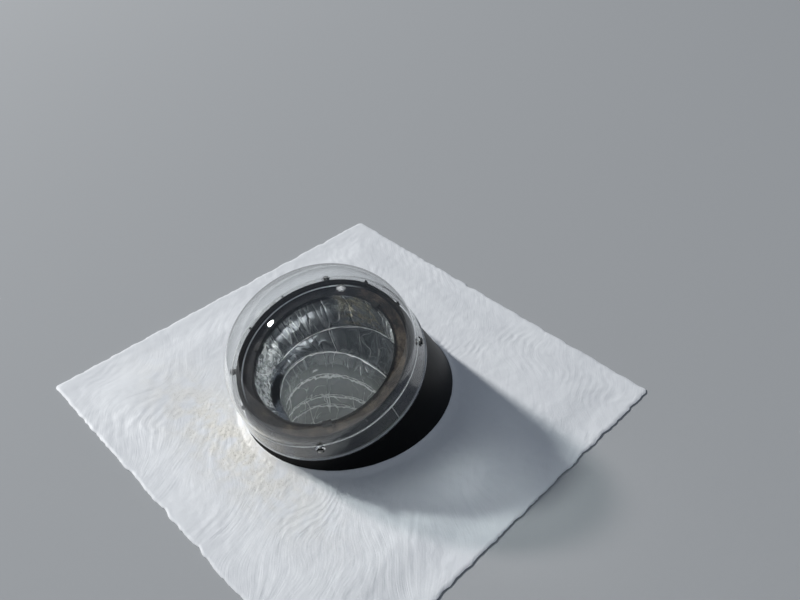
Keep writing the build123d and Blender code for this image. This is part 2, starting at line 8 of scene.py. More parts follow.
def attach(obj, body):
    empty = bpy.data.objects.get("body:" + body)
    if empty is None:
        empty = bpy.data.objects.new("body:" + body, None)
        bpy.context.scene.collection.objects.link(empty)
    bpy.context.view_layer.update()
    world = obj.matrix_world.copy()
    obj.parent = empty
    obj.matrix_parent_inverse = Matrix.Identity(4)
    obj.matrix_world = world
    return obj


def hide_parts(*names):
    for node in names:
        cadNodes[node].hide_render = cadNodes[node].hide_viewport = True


# Roof skylight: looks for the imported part. Metres, +Z up, the flange's middle at the origin.
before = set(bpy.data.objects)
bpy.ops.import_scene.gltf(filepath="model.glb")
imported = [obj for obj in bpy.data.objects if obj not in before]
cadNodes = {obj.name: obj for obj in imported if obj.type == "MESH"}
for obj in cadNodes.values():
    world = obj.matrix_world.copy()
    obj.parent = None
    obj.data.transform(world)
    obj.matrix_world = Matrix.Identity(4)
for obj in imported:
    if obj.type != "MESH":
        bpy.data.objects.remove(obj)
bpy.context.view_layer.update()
mm = 0.001

# The cap's seat leans towards -Y; its own axes are across, up the slope and out of the roof
lean = math.radians(20.6)
seatCentre = np.array((0, -0.043, 0.0966))
seatAcross = np.array((1.0, 0, 0))
seatBack = np.array((0, math.cos(lean), math.sin(lean)))
seatUp = np.array((0, -math.sin(lean), math.cos(lean)))


def feed(tree, made, inputs):
    # links the inputs that are given a socket, and sets the others
    for key, value in inputs.items():
        if isinstance(value, bpy.types.NodeSocket):
            tree.links.new(value, made.inputs[key])
        else:
            made.inputs[key].default_value = value


def linear(hexColour):
    # a hex colour as the linear light that shaders work in
    shades = [int(hexColour[i:i + 2], 16) / 255 for i in (1, 3, 5)]
    return (*(s / 12.92 if s <= 0.04045 else ((s + 0.055) / 1.055) ** 2.4 for s in shades), 1.0)


def addNode(tree, kind, inputs=None, stops=(), **settings):
    # adds a node, its settings, links and ramp stops, and gives its outputs; most kinds are shader nodes
    made = tree.nodes.new(kind if "Node" in kind else "ShaderNode" + kind)
    for key, value in settings.items():
        setattr(made, key, value)
    feed(tree, made, inputs or {})
    for _ in stops[2:]:
        made.color_ramp.elements.new(0.5)
    for element, (place, shade) in zip(made.color_ramp.elements if stops else (), stops):
        element.position = place
        element.color = linear(shade) if isinstance(shade, str) else (shade, shade, shade, 1.0)
    return made.outputs


def newMaterial(name):
    # gives the material with its tree, its shader and where each point lies on the piece
    made = bpy.data.materials.new(name)
    made.use_nodes = True
    tree = made.node_tree
    return made, tree, tree.nodes["Principled BSDF"], addNode(tree, "TexCoord")["Object"]


def seatPlace(tree, place):
    # the same point with the seat turned level about its middle
    return addNode(tree, "VectorRotate", {
        "Vector": place, "Center": tuple(seatCentre), "Angle": -lean}, rotation_type="X_AXIS")[0]


def meshPiece(name, points, faces, material=None):
    # a smooth object from points in metres
    mesh = bpy.data.meshes.new(name)
    mesh.from_pydata(np.asarray(points, float).reshape(-1, 3).tolist(), [], faces)
    mesh.update()
    mesh.shade_smooth()
    if material:
        mesh.materials.append(material)
    made = bpy.data.objects.new(name, mesh)
    bpy.context.collection.objects.link(made)
    return made


def gridFaces(rows, columns, closeRows=False):
    # quads between rows of points, where each row is a closed ring
    row = np.arange(rows if closeRows else rows - 1)
    row, column = [a.ravel() for a in np.meshgrid(row, np.arange(columns), indexing="ij")]
    above, beside = (row + 1) % rows, (column + 1) % columns
    corners = ((row, column), (row, beside), (above, beside), (above, column))
    return np.stack([r * columns + c for r, c in corners], 1).tolist()


def keepOnPoints(piece, title, values):
    # stores one number or one vector for each point of the mesh
    values = np.asarray(values, np.float32).ravel()
    isVector = len(values) == 3 * len(piece.data.vertices)
    kept = piece.data.attributes.new(title, "FLOAT_VECTOR" if isVector else "FLOAT", "POINT")
    kept.data.foreach_set("vector" if isVector else "value", values)


def weld(piece, crease=35):
    # closes seams and poles, turns every face outwards and keeps the hard edges crisp
    together = 0.001 * mm
    shape = bmesh.new()
    shape.from_mesh(piece.data)
    bmesh.ops.remove_doubles(shape, verts=shape.verts, dist=together)
    bmesh.ops.dissolve_degenerate(shape, edges=shape.edges, dist=together)
    bmesh.ops.recalc_face_normals(shape, faces=shape.faces)
    shape.to_mesh(piece.data)
    shape.free()
    piece.data.set_sharp_from_angle(angle=math.radians(crease))


def seatPoint(radius, azimuth, height):
    # points round the seat's axis, at a height above the seat
    radius, azimuth, height = np.broadcast_arrays(radius, azimuth, height)
    x, y = radius * np.cos(azimuth), radius * np.sin(azimuth)
    return (seatCentre + x[..., None] * seatAcross + y[..., None] * seatBack
            + height[..., None] * seatUp)


def smoothStep(low, high, value):
    share = np.clip((value - low) / (high - low), 0, 1)
    return share * share * (3 - 2 * share)


def finished(piece, nodeName):
    # the piece stands for its CAD node
    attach(piece, "root")
    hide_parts(nodeName)
    print(piece.name, len(piece.data.polygons), "faces")


def newTree(name, inputs):
    # gives the tree, what its inputs are called on a modifier, and its inputs inside
    tree = bpy.data.node_groups.new(name, "GeometryNodeTree")
    tree.interface.new_socket("Geometry", in_out="INPUT", socket_type="NodeSocketGeometry")
    tree.interface.new_socket("Geometry", in_out="OUTPUT", socket_type="NodeSocketGeometry")
    sockets = {key: tree.interface.new_socket(key, in_out="INPUT", socket_type=kind).identifier
               for key, kind in inputs.items()}
    return tree, sockets, addNode(tree, "NodeGroupInput")


def endTree(tree, geometry, material):
    real = addNode(tree, "GeometryNodeRealizeInstances", {"Geometry": geometry})[0]
    painted = addNode(tree, "GeometryNodeSetMaterial", {"Geometry": real, "Material": material})[0]
    addNode(tree, "NodeGroupOutput", {"Geometry": painted})


def bake(source, tree, sockets, values, name):
    # runs the tree once and keeps its result as a plain mesh
    modifier = source.modifiers.new(name, "NODES")
    modifier.node_group = tree
    for key, value in values.items():
        modifier[sockets[key]] = value
    bpy.context.view_layer.update()
    seen = source.evaluated_get(bpy.context.evaluated_depsgraph_get())
    mesh = bpy.data.meshes.new_from_object(seen)
    source.modifiers.remove(modifier)
    bpy.data.objects.remove(source)
    mesh.name = name
    made = bpy.data.objects.new(name, mesh)
    bpy.context.collection.objects.link(made)
    return made


# Camera at the photograph's viewing angle: metres, degrees and a lens in mm
view = {"at": (0.7519, -0.61817, 1.03399), "tilt": 50.14, "turn": 45.02, "lens": 33.5}
camera = bpy.data.objects.new("camera", bpy.data.cameras.new("camera"))
camera.location = view["at"]
camera.rotation_euler = (math.radians(view["tilt"]), 0, math.radians(view["turn"]))
camera.data.lens = view["lens"]
bpy.context.collection.objects.link(camera)
bpy.context.scene.camera = camera
print("camera set")


def plainFinish(name, size, values, shades=(), depth=0, detail=2.0, cells=False):
    # one pattern of a real size in mm, which runs between the shades and stands depth mm proud
    material, tree, shader, place = newMaterial(name)
    pattern = {"Vector": place, "Scale": 1 / (size * mm)}
    if cells:
        pattern = addNode(tree, "TexVoronoi", pattern)["Distance"]
    else:
        pattern = addNode(tree, "TexNoise", {**pattern, "Detail": detail})["Fac"]
    feed(tree, shader, values)
    if shades:
        feed(tree, shader, {"Base Color": addNode(tree, "ValToRGB", {0: pattern}, shades)[0]})
    if depth:
        feed(tree, shader, {"Normal": addNode(tree, "Bump", {
            "Height": pattern, "Distance": depth * mm})[0]})
    return material


# Stainless steel, cold headed: dull grey with fine turning marks
stainlessSteel = plainFinish("stainlessSteel", 0.45, {
    "Metallic": 1.0, "Roughness": 0.34, "Base Color": linear("#b9b7b2")}, depth=0.04)
# Zinc plated steel: bluish bright with a faint yellow passivation
zincSteel = plainFinish("zincSteel", 4, {"Metallic": 1.0, "Roughness": 0.3}, [
    (0.35, "#b4b8bb"), (0.7, "#c9c3a4")])
# Drawn spring steel wire: grey, bright along its length
springSteel = plainFinish("springSteel", 2, {"Metallic": 1.0, "Roughness": 0.28}, [
    (0.4, "#8f8f8c"), (0.7, "#b5b5b0")])
# EPDM rubber, moulded: black, matt and a little chalky
blackRubber = plainFinish("blackRubber", 2.4, {"Roughness": 0.75, "Specular IOR Level": 0.08}, [
    (0.45, "#020202"), (0.8, "#0a0a0a")], detail=3.0)
# Nylon clips, moulded: deep black, matt
blackNylon = plainFinish("blackNylon", 3.3, {"Roughness": 0.7, "Specular IOR Level": 0.12}, [
    (0.5, "#040404"), (0.75, "#0e0e0e")], detail=4.0)
# Butyl sealant, gunned on: dark, soft and slightly tacky
butyl = plainFinish("butyl", 6, {"Roughness": 0.6}, [
    (0.4, "#1b1b1c"), (0.7, "#2d2c2b")], depth=0.4, detail=3.0)
# White ABS, moulded glossy: even, with a soft sheen
whiteAbs = plainFinish("whiteAbs", 70, {"Roughness": 0.22, "IOR": 1.53}, [(0.3, "#e4e4e0"), (0.7, "#ececea")])
# Frosted acrylic lens: white, scattering, pebbled on its face
frostedAcrylic = plainFinish("frostedAcrylic", 4.3, {
    "Roughness": 0.4, "IOR": 1.49, "Transmission Weight": 0.35, "Base Color": linear("#eef0f0")},
    depth=0.5, cells=True)
# Closed-cell foam gasket: off-white and matt, with fine open cells
whiteFoam = plainFinish("whiteFoam", 1.1, {"Roughness": 0.85}, [
    (0.1, "#b9b9b4"), (0.5, "#d8d8d3")], cells=True)

# Stainless band: bright, with fine rolling lines round its length
bandSteel, tree, shader, place = newMaterial("bandSteel")
rolled = addNode(tree, "Mapping", {
    "Vector": place, "Scale": (1 / (17 * mm), 1 / (17 * mm), 1 / (0.33 * mm))})[0]
rolled = addNode(tree, "TexNoise", {"Vector": rolled, "Scale": 1.0})["Fac"]
feed(tree, shader, {
    "Metallic": 1.0, "Roughness": 0.26, "Base Color": linear("#bfbfbb"),
    "Normal": addNode(tree, "Bump", {"Height": rolled, "Distance": 0.05 * mm})[0]})

# ABS, injection moulded in a fine spark texture: black satin, thin dust where it faces the sky
blackAbs, tree, shader, place = newMaterial("blackAbs")
grain = addNode(tree, "TexNoise", {"Vector": place, "Scale": 1 / (0.8 * mm), "Detail": 2.0})["Fac"]
cloud = addNode(tree, "TexNoise", {"Vector": place, "Scale": 1 / (18 * mm), "Detail": 6.0})["Fac"]
facing = addNode(tree, "SeparateXYZ", {0: addNode(tree, "NewGeometry")["Normal"]})["Z"]
skyward = addNode(tree, "MapRange", {"Value": facing, "From Min": 0.35, "From Max": 1.0, "To Max": 0.4})[0]
dust = addNode(tree, "Math", {0: cloud, 1: skyward}, operation="MULTIPLY")[0]
feed(tree, shader, {
    "Roughness": 0.42, "IOR": 1.53, "Specular IOR Level": 0.07,
    "Base Color": addNode(tree, "ValToRGB", {0: dust}, [(0.0, "#040405"), (0.4, "#121110")])[0],
    "Normal": addNode(tree, "Bump", {"Height": grain, "Distance": 0.015 * mm})[0]})

for nodeName, material in {
    "cap_washers": blackRubber, "flashing": blackAbs, "tube_clips": blackNylon, "flange_sealant": butyl,
    "ceiling_ring": whiteAbs, "ceiling_dogs": whiteAbs, "dog_screws": zincSteel, "tube_strap": bandSteel,
    "strap_screw": zincSteel, "trim_ring": whiteAbs, "diffuser": frostedAcrylic, "lens_seal": whiteFoam,
}.items():
    for holder in cadNodes[nodeName].material_slots:
        holder.material = material
print("kept nodes dressed")

# Clear cap: one lathe-turned wall with a lip, a step and a dome, then pads and a mould line on its skirt
cap = {
    "rim": 177.0, "lipProud": 1.7, "lipHeight": 4.0, "wall": 2.6, "skirtHeight": 41.3, "skirtDraft": 4.1,
    "step": 1.0, "straight": 8.7, "height": 165.0, "crownSpare": 54.8, "rounding": 0.6,
    "padRadius": 7.5, "padProud": 2.2, "padHeight": 33.0, "padAzimuths": (45, 135, 225, 315),
    "mouldLineAt": 0.5, "mouldLineProud": 0.6, "mouldLineHalf": 0.5, "lipNotch": 0.9,
    "streakLong": 95.0, "streakHigh": 2.2, "filmFull": 39.0, "filmEnd": 48.0, "hazeLitX": -60.0,
    "hazeShadedX": 130.0, "highlightShoulder": 0.9, "highlightLip": 0.8, "highlightLine": 0.7, "highlightLineY": 1.5,
    "highlightLineX": 100.0, "highlightLineTop": 42.0, "drops": ((-174.3, -34.4, 137.6), (10.1, -13.9, 265.0)),
    "dropInner": 4.0, "dropOuter": 9.0, "dropWrinkle": 3.2, "dropProud": 2.5,
}

# Cast acrylic, blown and moulded: clear and glossy, dust dried in rings on the skirt, hazier towards -X as
# painted light, and painted white highlights along its edges
clearAcrylic, tree, shader, place = newMaterial("clearAcrylic")
onSeat = seatPlace(tree, place)
seatX, seatY, seatZ = addNode(tree, "SeparateXYZ", {0: onSeat})
dried = addNode(tree, "Mapping", {"Vector": onSeat, "Scale": [
    1 / (cap[size] * mm) for size in ("streakLong", "streakLong", "streakHigh")]})[0]
dried = addNode(tree, "TexNoise", {"Vector": dried, "Detail": 3.0, "Scale": 1.0})["Fac"]
onSkirt = addNode(tree, "MapRange", {
    "Value": seatZ, "From Min": seatCentre[2] + cap["filmFull"] * mm,
    "From Max": seatCentre[2] + cap["filmEnd"] * mm, "To Min": 1.0, "To Max": 0.0})[0]
# painted light: the dust film is made stronger towards -X, the lit side, and weaker towards +X, in shade
thickness = addNode(tree, "MapRange", {
    "Value": seatX, "From Min": cap["hazeLitX"] * mm, "From Max": cap["hazeShadedX"] * mm,
    "To Min": 1.12, "To Max": 0.4})[0]
dustAndLitHaze = addNode(tree, "Math", {0: dried, 1: onSkirt}, operation="MULTIPLY")[0]
dustAndLitHaze = addNode(tree, "Math", {0: dustAndLitHaze, 1: thickness}, operation="MULTIPLY")[0]
# painted highlights, drawn white: thin lines on the skirt's shoulder, its lip, and the mould line where it
# crosses the skirt on +X
beyond = addNode(tree, "Math", {0: seatX, 1: cap["highlightLineX"] * mm}, operation="GREATER_THAN")[0]
below = addNode(tree, "Math", {
    0: seatZ, 1: seatCentre[2] + cap["highlightLineTop"] * mm}, operation="LESS_THAN")[0]
crossing = addNode(tree, "Math", {0: beyond, 1: below}, operation="MULTIPLY")[0]
paintedHighlightsAndDrops = 0.0
for line, middle, half, within in (
        (seatZ, seatCentre[2] + cap["skirtHeight"] * mm, cap["highlightShoulder"] * mm, 1.0),
        (seatZ, seatCentre[2] + cap["lipHeight"] * mm, cap["highlightLip"] * mm, 1.0),
        (seatY, seatCentre[1] + cap["highlightLineY"] * mm, cap["highlightLine"] * mm, crossing)):
    away = addNode(tree, "Math", {0: line, 1: middle}, operation="SUBTRACT")[0]
    away = addNode(tree, "Math", {0: away}, operation="ABSOLUTE")[0]
    near = addNode(tree, "MapRange", {
        "Value": away, "From Min": half / 3, "From Max": half, "To Min": 1.0, "To Max": 0.0})[0]
    near = addNode(tree, "Math", {0: near, 1: within}, operation="MULTIPLY")[0]
    paintedHighlightsAndDrops = addNode(tree, "Math", {0: paintedHighlightsAndDrops, 1: near}, operation="MAXIMUM")[0]
# two dried drops, one on the skirt and one near the crown
drops = 0.0
for middle in cap["drops"]:
    away = addNode(tree, "VectorMath", {
        0: place, 1: [length * mm for length in middle]}, operation="DISTANCE")["Value"]
    near = addNode(tree, "MapRange", {
        "Value": away, "From Min": cap["dropInner"] * mm, "From Max": cap["dropOuter"] * mm,
        "To Min": 1.0, "To Max": 0.0}, interpolation_type="SMOOTHSTEP")[0]
    drops = addNode(tree, "Math", {0: drops, 1: near}, operation="MAXIMUM")[0]
wrinkle = addNode(tree, "TexNoise", {
    "Vector": place, "Scale": 1 / (cap["dropWrinkle"] * mm), "Detail": 1.0})["Fac"]
drops = addNode(tree, "Math", {0: drops, 1: wrinkle}, operation="MULTIPLY")[0]
# the dried drops are real marks; here they join the painted highlights
paintedHighlightsAndDrops = addNode(tree, "Math", {0: drops, 1: 1.4, 2: paintedHighlightsAndDrops}, operation="MULTIPLY_ADD")[0]
passed = addNode(tree, "ValToRGB", {0: dustAndLitHaze}, [(0.45, 1.0), (0.7, 0.76)])[0]
passed = addNode(tree, "Math", {0: paintedHighlightsAndDrops, 1: -0.5, 2: passed}, operation="MULTIPLY_ADD", use_clamp=True)[0]
feed(tree, shader, {
    "Base Color": linear("#fcfdfd"), "IOR": 1.49, "Transmission Weight": passed,
    "Roughness": addNode(tree, "ValToRGB", {0: dustAndLitHaze}, [(0.3, 0.01), (0.75, 0.14)])[0],
    "Normal": addNode(tree, "Bump", {"Height": drops, "Distance": cap["dropProud"] * mm})[0]})
# light falls straight through the cap, so that what is inside is lit
shadowRay = addNode(tree, "LightPath")["Is Shadow Ray"]
through = addNode(tree, "BsdfTransparent", {"Color": linear("#f0f2f2")})[0]
either = addNode(tree, "MixShader", {0: shadowRay, 1: shader.outputs[0], 2: through})[0]
feed(tree, tree.nodes["Material Output"], {"Surface": either})

skirtFoot = cap["rim"] - cap["lipProud"]
skirtTop = skirtFoot - cap["skirtDraft"]
domeRadius = skirtTop - cap["step"]
knuckleHeight = cap["skirtHeight"] + cap["straight"]
crownRadius = domeRadius + cap["crownSpare"]
crownCentre = cap["height"] - crownRadius
rise = knuckleHeight - crownCentre
knuckleRadius = (crownRadius**2 - domeRadius**2 - rise**2) / (2 * cap["crownSpare"])
knuckleX = domeRadius - knuckleRadius
knuckleTurn = math.atan2(rise, knuckleX)


def domeLine(inset):
    # from the knuckle up to the crown, inset from the outer face
    low = np.linspace(0, knuckleTurn, 22)
    high = np.linspace(knuckleTurn, math.pi / 2, 34)[1:]
    knuckle, crown = knuckleRadius - inset, crownRadius - inset
    return ([(knuckleX + knuckle * math.cos(a), knuckleHeight + knuckle * math.sin(a)) for a in low]
            + [(crown * math.cos(a), crownCentre + crown * math.sin(a)) for a in high])


def rounded(corners, radius):
    # the same line with each corner between its ends eased; a short side gives up at most 0.45 of itself
    line = []
    for before, here, after in zip(corners, corners[1:], corners[2:]):
        before, here, after = map(np.array, (before, here, after))
        inward = min(radius, 0.45 * np.linalg.norm(before - here), 0.45 * np.linalg.norm(after - here))
        start = here + (before - here) / np.linalg.norm(before - here) * inward
        end = here + (after - here) / np.linalg.norm(after - here) * inward
        line += [tuple((1 - t)**2 * start + 2 * t * (1 - t) * here + t * t * end) for t in (0, 0.33, 0.67, 1)]
    return [corners[0]] + line + [corners[-1]]


def turnFrom(azimuth, turns):
    # how far each turn lies from an azimuth, between half a turn back and half a turn on
    return (turns - math.radians(azimuth) + math.pi) % (2 * math.pi) - math.pi


innerFoot = skirtFoot - cap["wall"]
innerTop = domeRadius - cap["wall"]
outside = rounded([(innerFoot, 1.2), (innerFoot, 0), (cap["rim"], 0), (cap["rim"], cap["lipHeight"]),
                   (skirtFoot, cap["lipHeight"]), (skirtTop, cap["skirtHeight"]),
                   (domeRadius, cap["skirtHeight"]), (domeRadius, knuckleHeight)], cap["rounding"])
skirtAt = next(i for i, p in enumerate(outside) if p[1] > cap["lipHeight"] + 2)
foot, top = outside[skirtAt - 1], outside[skirtAt]
skirtLine = [tuple(np.array(foot) + (np.array(top) - foot) * t) for t in np.linspace(0, 1, 52)[1:-1]]
outside = outside[:skirtAt] + skirtLine + outside[skirtAt:-1] + domeLine(0)
inside = domeLine(cap["wall"])[::-1] + [(innerTop, cap["skirtHeight"])]
inside += [(innerTop + (innerFoot - innerTop) * t, cap["skirtHeight"] * (1 - t)) for t in (0.25, 0.5, 0.75)]
capProfile = np.array(outside + inside)
# columns are close together where a pad or the mould line needs them, in degrees
turns = {round(a, 3) for a in np.arange(0, 360, 2.5)}
for azimuth in cap["padAzimuths"]:
    turns |= {round(a % 360, 3) for a in np.arange(azimuth - 3.25, azimuth + 3.3, 0.25)}
turns |= {round(a % 360, 3) for a in np.arange(cap["mouldLineAt"] - 0.5, cap["mouldLineAt"] + 0.55, 0.05)}
turns = np.radians(sorted(turns))
radii = np.repeat(capProfile[:, :1], len(turns), 1)
heights = np.repeat(capProfile[:, 1:], len(turns), 1)
# pads and mould line stand on the outer wall, from past its first corner up to just above the step
outerRows = np.zeros(len(capProfile), bool)
outerRows[4:len(outside)] = True
outerRows = outerRows[:, None] & (heights < cap["skirtHeight"] + 5)
share = (cap["padHeight"] - cap["lipHeight"]) / (cap["skirtHeight"] - cap["lipHeight"])
padFace = skirtFoot - cap["skirtDraft"] * share + cap["padProud"]
for azimuth in cap["padAzimuths"]:
    off = turnFrom(azimuth, turns)
    spread = np.hypot(radii * np.sin(off), heights - cap["padHeight"])
    flat = 1 - smoothStep(cap["padRadius"], cap["padRadius"] + 0.7, spread)
    near = outerRows & (np.abs(off) < 0.2)
    radii = np.where(near, radii + flat * (padFace / np.cos(np.clip(off, -1, 1)) - radii), radii)
off = turnFrom(cap["mouldLineAt"], turns)
ridge = cap["mouldLineProud"] * np.exp(-(off * cap["rim"] / cap["mouldLineHalf"])**2)
onLip = heights <= cap["lipHeight"]
notch = -cap["lipNotch"] * (np.abs(off * cap["rim"]) < cap["lipNotch"])
radii = radii + np.where(outerRows, np.where(onLip, notch * (radii > skirtFoot + 0.2), ridge), 0)
capPoints = seatPoint(radii * mm, turns, heights * mm)
clearCap = meshPiece("clearCap", capPoints, gridFaces(*radii.shape, closeRows=True), clearAcrylic)
weld(clearCap, 50)
finished(clearCap, "dome_cap")

# Tunnel ring and its rubber seal, turned on the seat's axis with every edge eased
ring = {
    "collarInner": 130.6, "collarOuter": 133.0, "shelf": 32.9, "outer": 152.5, "top": 35.4, "bead": 1.6,
    "beadTop": 36.3, "collar": 30.0, "rounding": 0.6, "blotch": 22.0, "speck": 2.5, "shadeX": -90.0,
    "shadeEndX": 70.0, "highlightFullX": -130.0, "highlightEndX": -30.0,
}
seal = {"inner": 129.1, "lip": 127.9, "lap": 24.0, "top": 37.3, "rounding": 0.5}

# The ring is the same black plastic: brown blotched dust, painted shade darkening it towards -X, and a
# painted highlight on the outer bead on -X
dustyAbsPaintedLight, tree, shader, place = newMaterial("dustyAbsPaintedLight")
seatX = addNode(tree, "SeparateXYZ", {0: seatPlace(tree, place)})["X"]
blotch = addNode(tree, "TexNoise", {
    "Vector": place, "Scale": 1 / (ring["blotch"] * mm), "Detail": 7.0, "Roughness": 0.62})["Fac"]
speck = addNode(tree, "TexNoise", {
    "Vector": place, "Scale": 1 / (ring["speck"] * mm), "Detail": 2.0})["Fac"]
dust = addNode(tree, "Math", {0: blotch, 1: 2.4, 2: speck}, operation="MULTIPLY_ADD")[0]
# painted shade: the dust tone drops towards -X, where the ring lies in shade
ringPaintedShade = addNode(tree, "MapRange", {
    "Value": seatX, "From Min": ring["shadeX"] * mm, "From Max": ring["shadeEndX"] * mm,
    "To Min": -0.17, "To Max": 0.04})[0]
dust = addNode(tree, "Math", {0: dust, 1: 0.29, 2: ringPaintedShade}, operation="MULTIPLY_ADD")[0]
onBead = addNode(tree, "Attribute", attribute_name="outerBead")["Fac"]
# painted highlight: the outer bead turns light grey on -X, where it catches the light
paintedBeadHighlight = addNode(tree, "MapRange", {
    "Value": seatX, "From Min": ring["highlightFullX"] * mm, "From Max": ring["highlightEndX"] * mm,
    "To Min": 1.0, "To Max": 0.0}, interpolation_type="SMOOTHSTEP")[0]
paintedBeadHighlight = addNode(tree, "Math", {0: paintedBeadHighlight, 1: onBead}, operation="MULTIPLY")[0]
dust = addNode(tree, "Math", {0: onBead, 1: -0.3, 2: dust}, operation="MULTIPLY_ADD")[0]
dustAndPaintedShade = addNode(tree, "ValToRGB", {0: dust}, [(0.36, "#0b0c10"), (0.5, "#282421"), (0.68, "#554d44")])[0]
feed(tree, shader, {
    "IOR": 1.53,
    "Specular IOR Level": addNode(tree, "MapRange", {"Value": paintedBeadHighlight, "To Min": 0.03, "To Max": 0.9})[0],
    "Base Color": addNode(tree, "Mix", {
        0: paintedBeadHighlight, 6: dustAndPaintedShade, 7: linear("#d5dae0")}, data_type="RGBA")[2],
    "Roughness": addNode(tree, "ValToRGB", {0: dust}, [(0.2, 0.2), (0.5, 0.85)])[0],
    "Normal": addNode(tree, "Bump", {"Height": speck, "Distance": 0.05 * mm})[0]})


def turnedPiece(name, corners, rounding, material):
    # a closed outline of radii and heights in mm, turned on the seat's axis
    loop = corners + corners[:2]
    eased = np.array(rounded(loop, rounding)[1:-1])
    spin = np.radians(np.arange(0, 360, 1.5))
    rows = seatPoint(eased[:, :1] * mm, spin[None], eased[:, 1:] * mm)
    piece = meshPiece(name, rows, gridFaces(len(eased), len(spin), closeRows=True), material)
    weld(piece, 50)
    return piece


collarFoot = ring["shelf"] - ring["collar"]
tunnelRing = turnedPiece("tunnelRing", [
    (ring["collarInner"], collarFoot), (ring["collarOuter"], collarFoot),
    (ring["collarOuter"], ring["shelf"]), (ring["outer"], ring["shelf"]), (ring["outer"], ring["beadTop"]),
    (ring["outer"] - ring["bead"], ring["beadTop"]), (ring["outer"] - 2 * ring["bead"], ring["top"]),
    (ring["collarInner"] + 2 * ring["bead"], ring["top"]),
    (ring["collarInner"] + ring["bead"], ring["beadTop"]),
    (ring["collarInner"], ring["beadTop"])], ring["rounding"], dustyAbsPaintedLight)
# the outer bead is what stands above the ledge near the ring's rim
fromSeat = np.array([vertex.co for vertex in tunnelRing.data.vertices]) - seatCentre
aboveSeat = fromSeat @ seatUp
reach = np.linalg.norm(fromSeat - aboveSeat[:, None] * seatUp, axis=1)
onRim = reach > (ring["outer"] - 2 * ring["bead"] - 0.3) * mm
keepOnPoints(tunnelRing, "outerBead", onRim & (aboveSeat > (ring["top"] + 0.2) * mm))
finished(tunnelRing, "tunnel_ring")
tunnelSeal = turnedPiece("tunnelSeal", [
    (seal["inner"], seal["top"] - seal["lap"]), (ring["collarInner"] - 0.1, seal["top"] - seal["lap"]),
    (ring["collarInner"] - 0.1, ring["beadTop"]),
    (ring["collarInner"] + ring["bead"], ring["beadTop"] + 0.05),
    (ring["collarInner"] + ring["bead"] - 0.5, seal["top"]), (seal["lip"] + 0.4, seal["top"]),
    (seal["lip"], ring["beadTop"] + 0.4), (seal["lip"] + 0.5, ring["beadTop"] - 0.2),
    (seal["inner"], ring["beadTop"] - 0.2)], seal["rounding"], blackRubber)
finished(tunnelSeal, "tunnel_seal")

# Screws: one master each, set on its places by a node tree
screwTree, screwSockets, given = newTree("screwsOnPlaces", {
    "Screw": "NodeSocketObject", "Metal": "NodeSocketMaterial"})
outward = addNode(screwTree, "GeometryNodeInputNamedAttribute", {"Name": "outward"},
                  data_type="FLOAT_VECTOR")["Attribute"]
aim = addNode(screwTree, "FunctionNodeAlignRotationToVector", {"Vector": outward}, axis="Z")[0]
master = addNode(screwTree, "GeometryNodeObjectInfo", {
    "Object": given["Screw"], "As Instance": True})["Geometry"]
dots = addNode(screwTree, "GeometryNodeMeshToPoints", {"Mesh": given["Geometry"]})[0]
placed = addNode(screwTree, "GeometryNodeInstanceOnPoints", {
    "Points": dots, "Instance": master, "Rotation": aim})[0]
endTree(screwTree, placed, given["Metal"])


def screwMaster(sizes):
    # the head's underside is at z 0 and the shank runs down; millimetres
    head, rim, arm = sizes["headRadius"], sizes["rimHeight"], sizes["recessReach"]
    dome = sizes["headHeight"] - rim
    spin = np.radians(np.arange(0, 360, 6))
    rows = []
    for share in np.linspace(0, 1, 15):
        radius = head * share
        height = rim + dome * math.sqrt(max(1 - share**2, 0)) * np.ones(len(spin))
        x, y = radius * np.cos(spin), radius * np.sin(spin)
        cut = (np.abs(x) < sizes["recessHalf"]) & (np.abs(y) < arm)
        if sizes["crossed"]:
            cut |= (np.abs(y) < sizes["recessHalf"]) & (np.abs(x) < arm)
        rows.append(np.stack([x, y, height - cut * sizes["recessDepth"]], 1))
    rows.append(np.stack([head * np.cos(spin), head * np.sin(spin), 0 * spin], 1))
    for depth in np.arange(0, sizes["length"] + 0.01, sizes["pitch"] / 4):
        turn = depth / sizes["pitch"] - spin / (2 * math.pi)
        crest = 1 - 2 * np.abs(turn - np.floor(turn) - 0.5)
        threaded = sizes["shankRadius"] * (0.76 + 0.24 * crest)  # the root is 0.76 of the crest
        core = threaded if depth > sizes["neck"] else sizes["neckRadius"] + 0 * spin
        core = core * max(min(1, (sizes["length"] - depth) / sizes["tip"]), 0)
        rows.append(np.stack([core * np.cos(spin), core * np.sin(spin), 0 * spin - depth], 1))
    piece = meshPiece("screwMaster", np.array(rows) * mm, gridFaces(len(rows), len(spin)))
    weld(piece, 40)
    return piece


def setScrews(name, places, directions, sizes, metal, nodeName):
    points = meshPiece(name + "Places", places, [])
    keepOnPoints(points, "outward", directions)
    screw = screwMaster(sizes)
    made = bake(points, screwTree, screwSockets, {"Screw": screw, "Metal": metal}, name)
    bpy.data.objects.remove(screw)
    finished(made, nodeName)


capScrew = {
    "headRadius": 4.2, "headHeight": 2.8, "rimHeight": 0.9, "recessHalf": 0.6, "recessReach": 9.0,
    "recessDepth": 1.2, "crossed": False, "shankRadius": 2.0, "neckRadius": 1.8, "neck": 1.5,
    "length": 16.0, "pitch": 1.3, "tip": 2.5, "seatRadius": padFace + 1.6,
}
padTurns = np.radians(cap["padAzimuths"])
capScrewPlaces = seatPoint(capScrew["seatRadius"] * mm, padTurns, cap["padHeight"] * mm)
outwards = seatPoint(1.0, padTurns, 0.0) - seatCentre
setScrews("capScrews", capScrewPlaces, outwards, capScrew, stainlessSteel, "cap_screws")

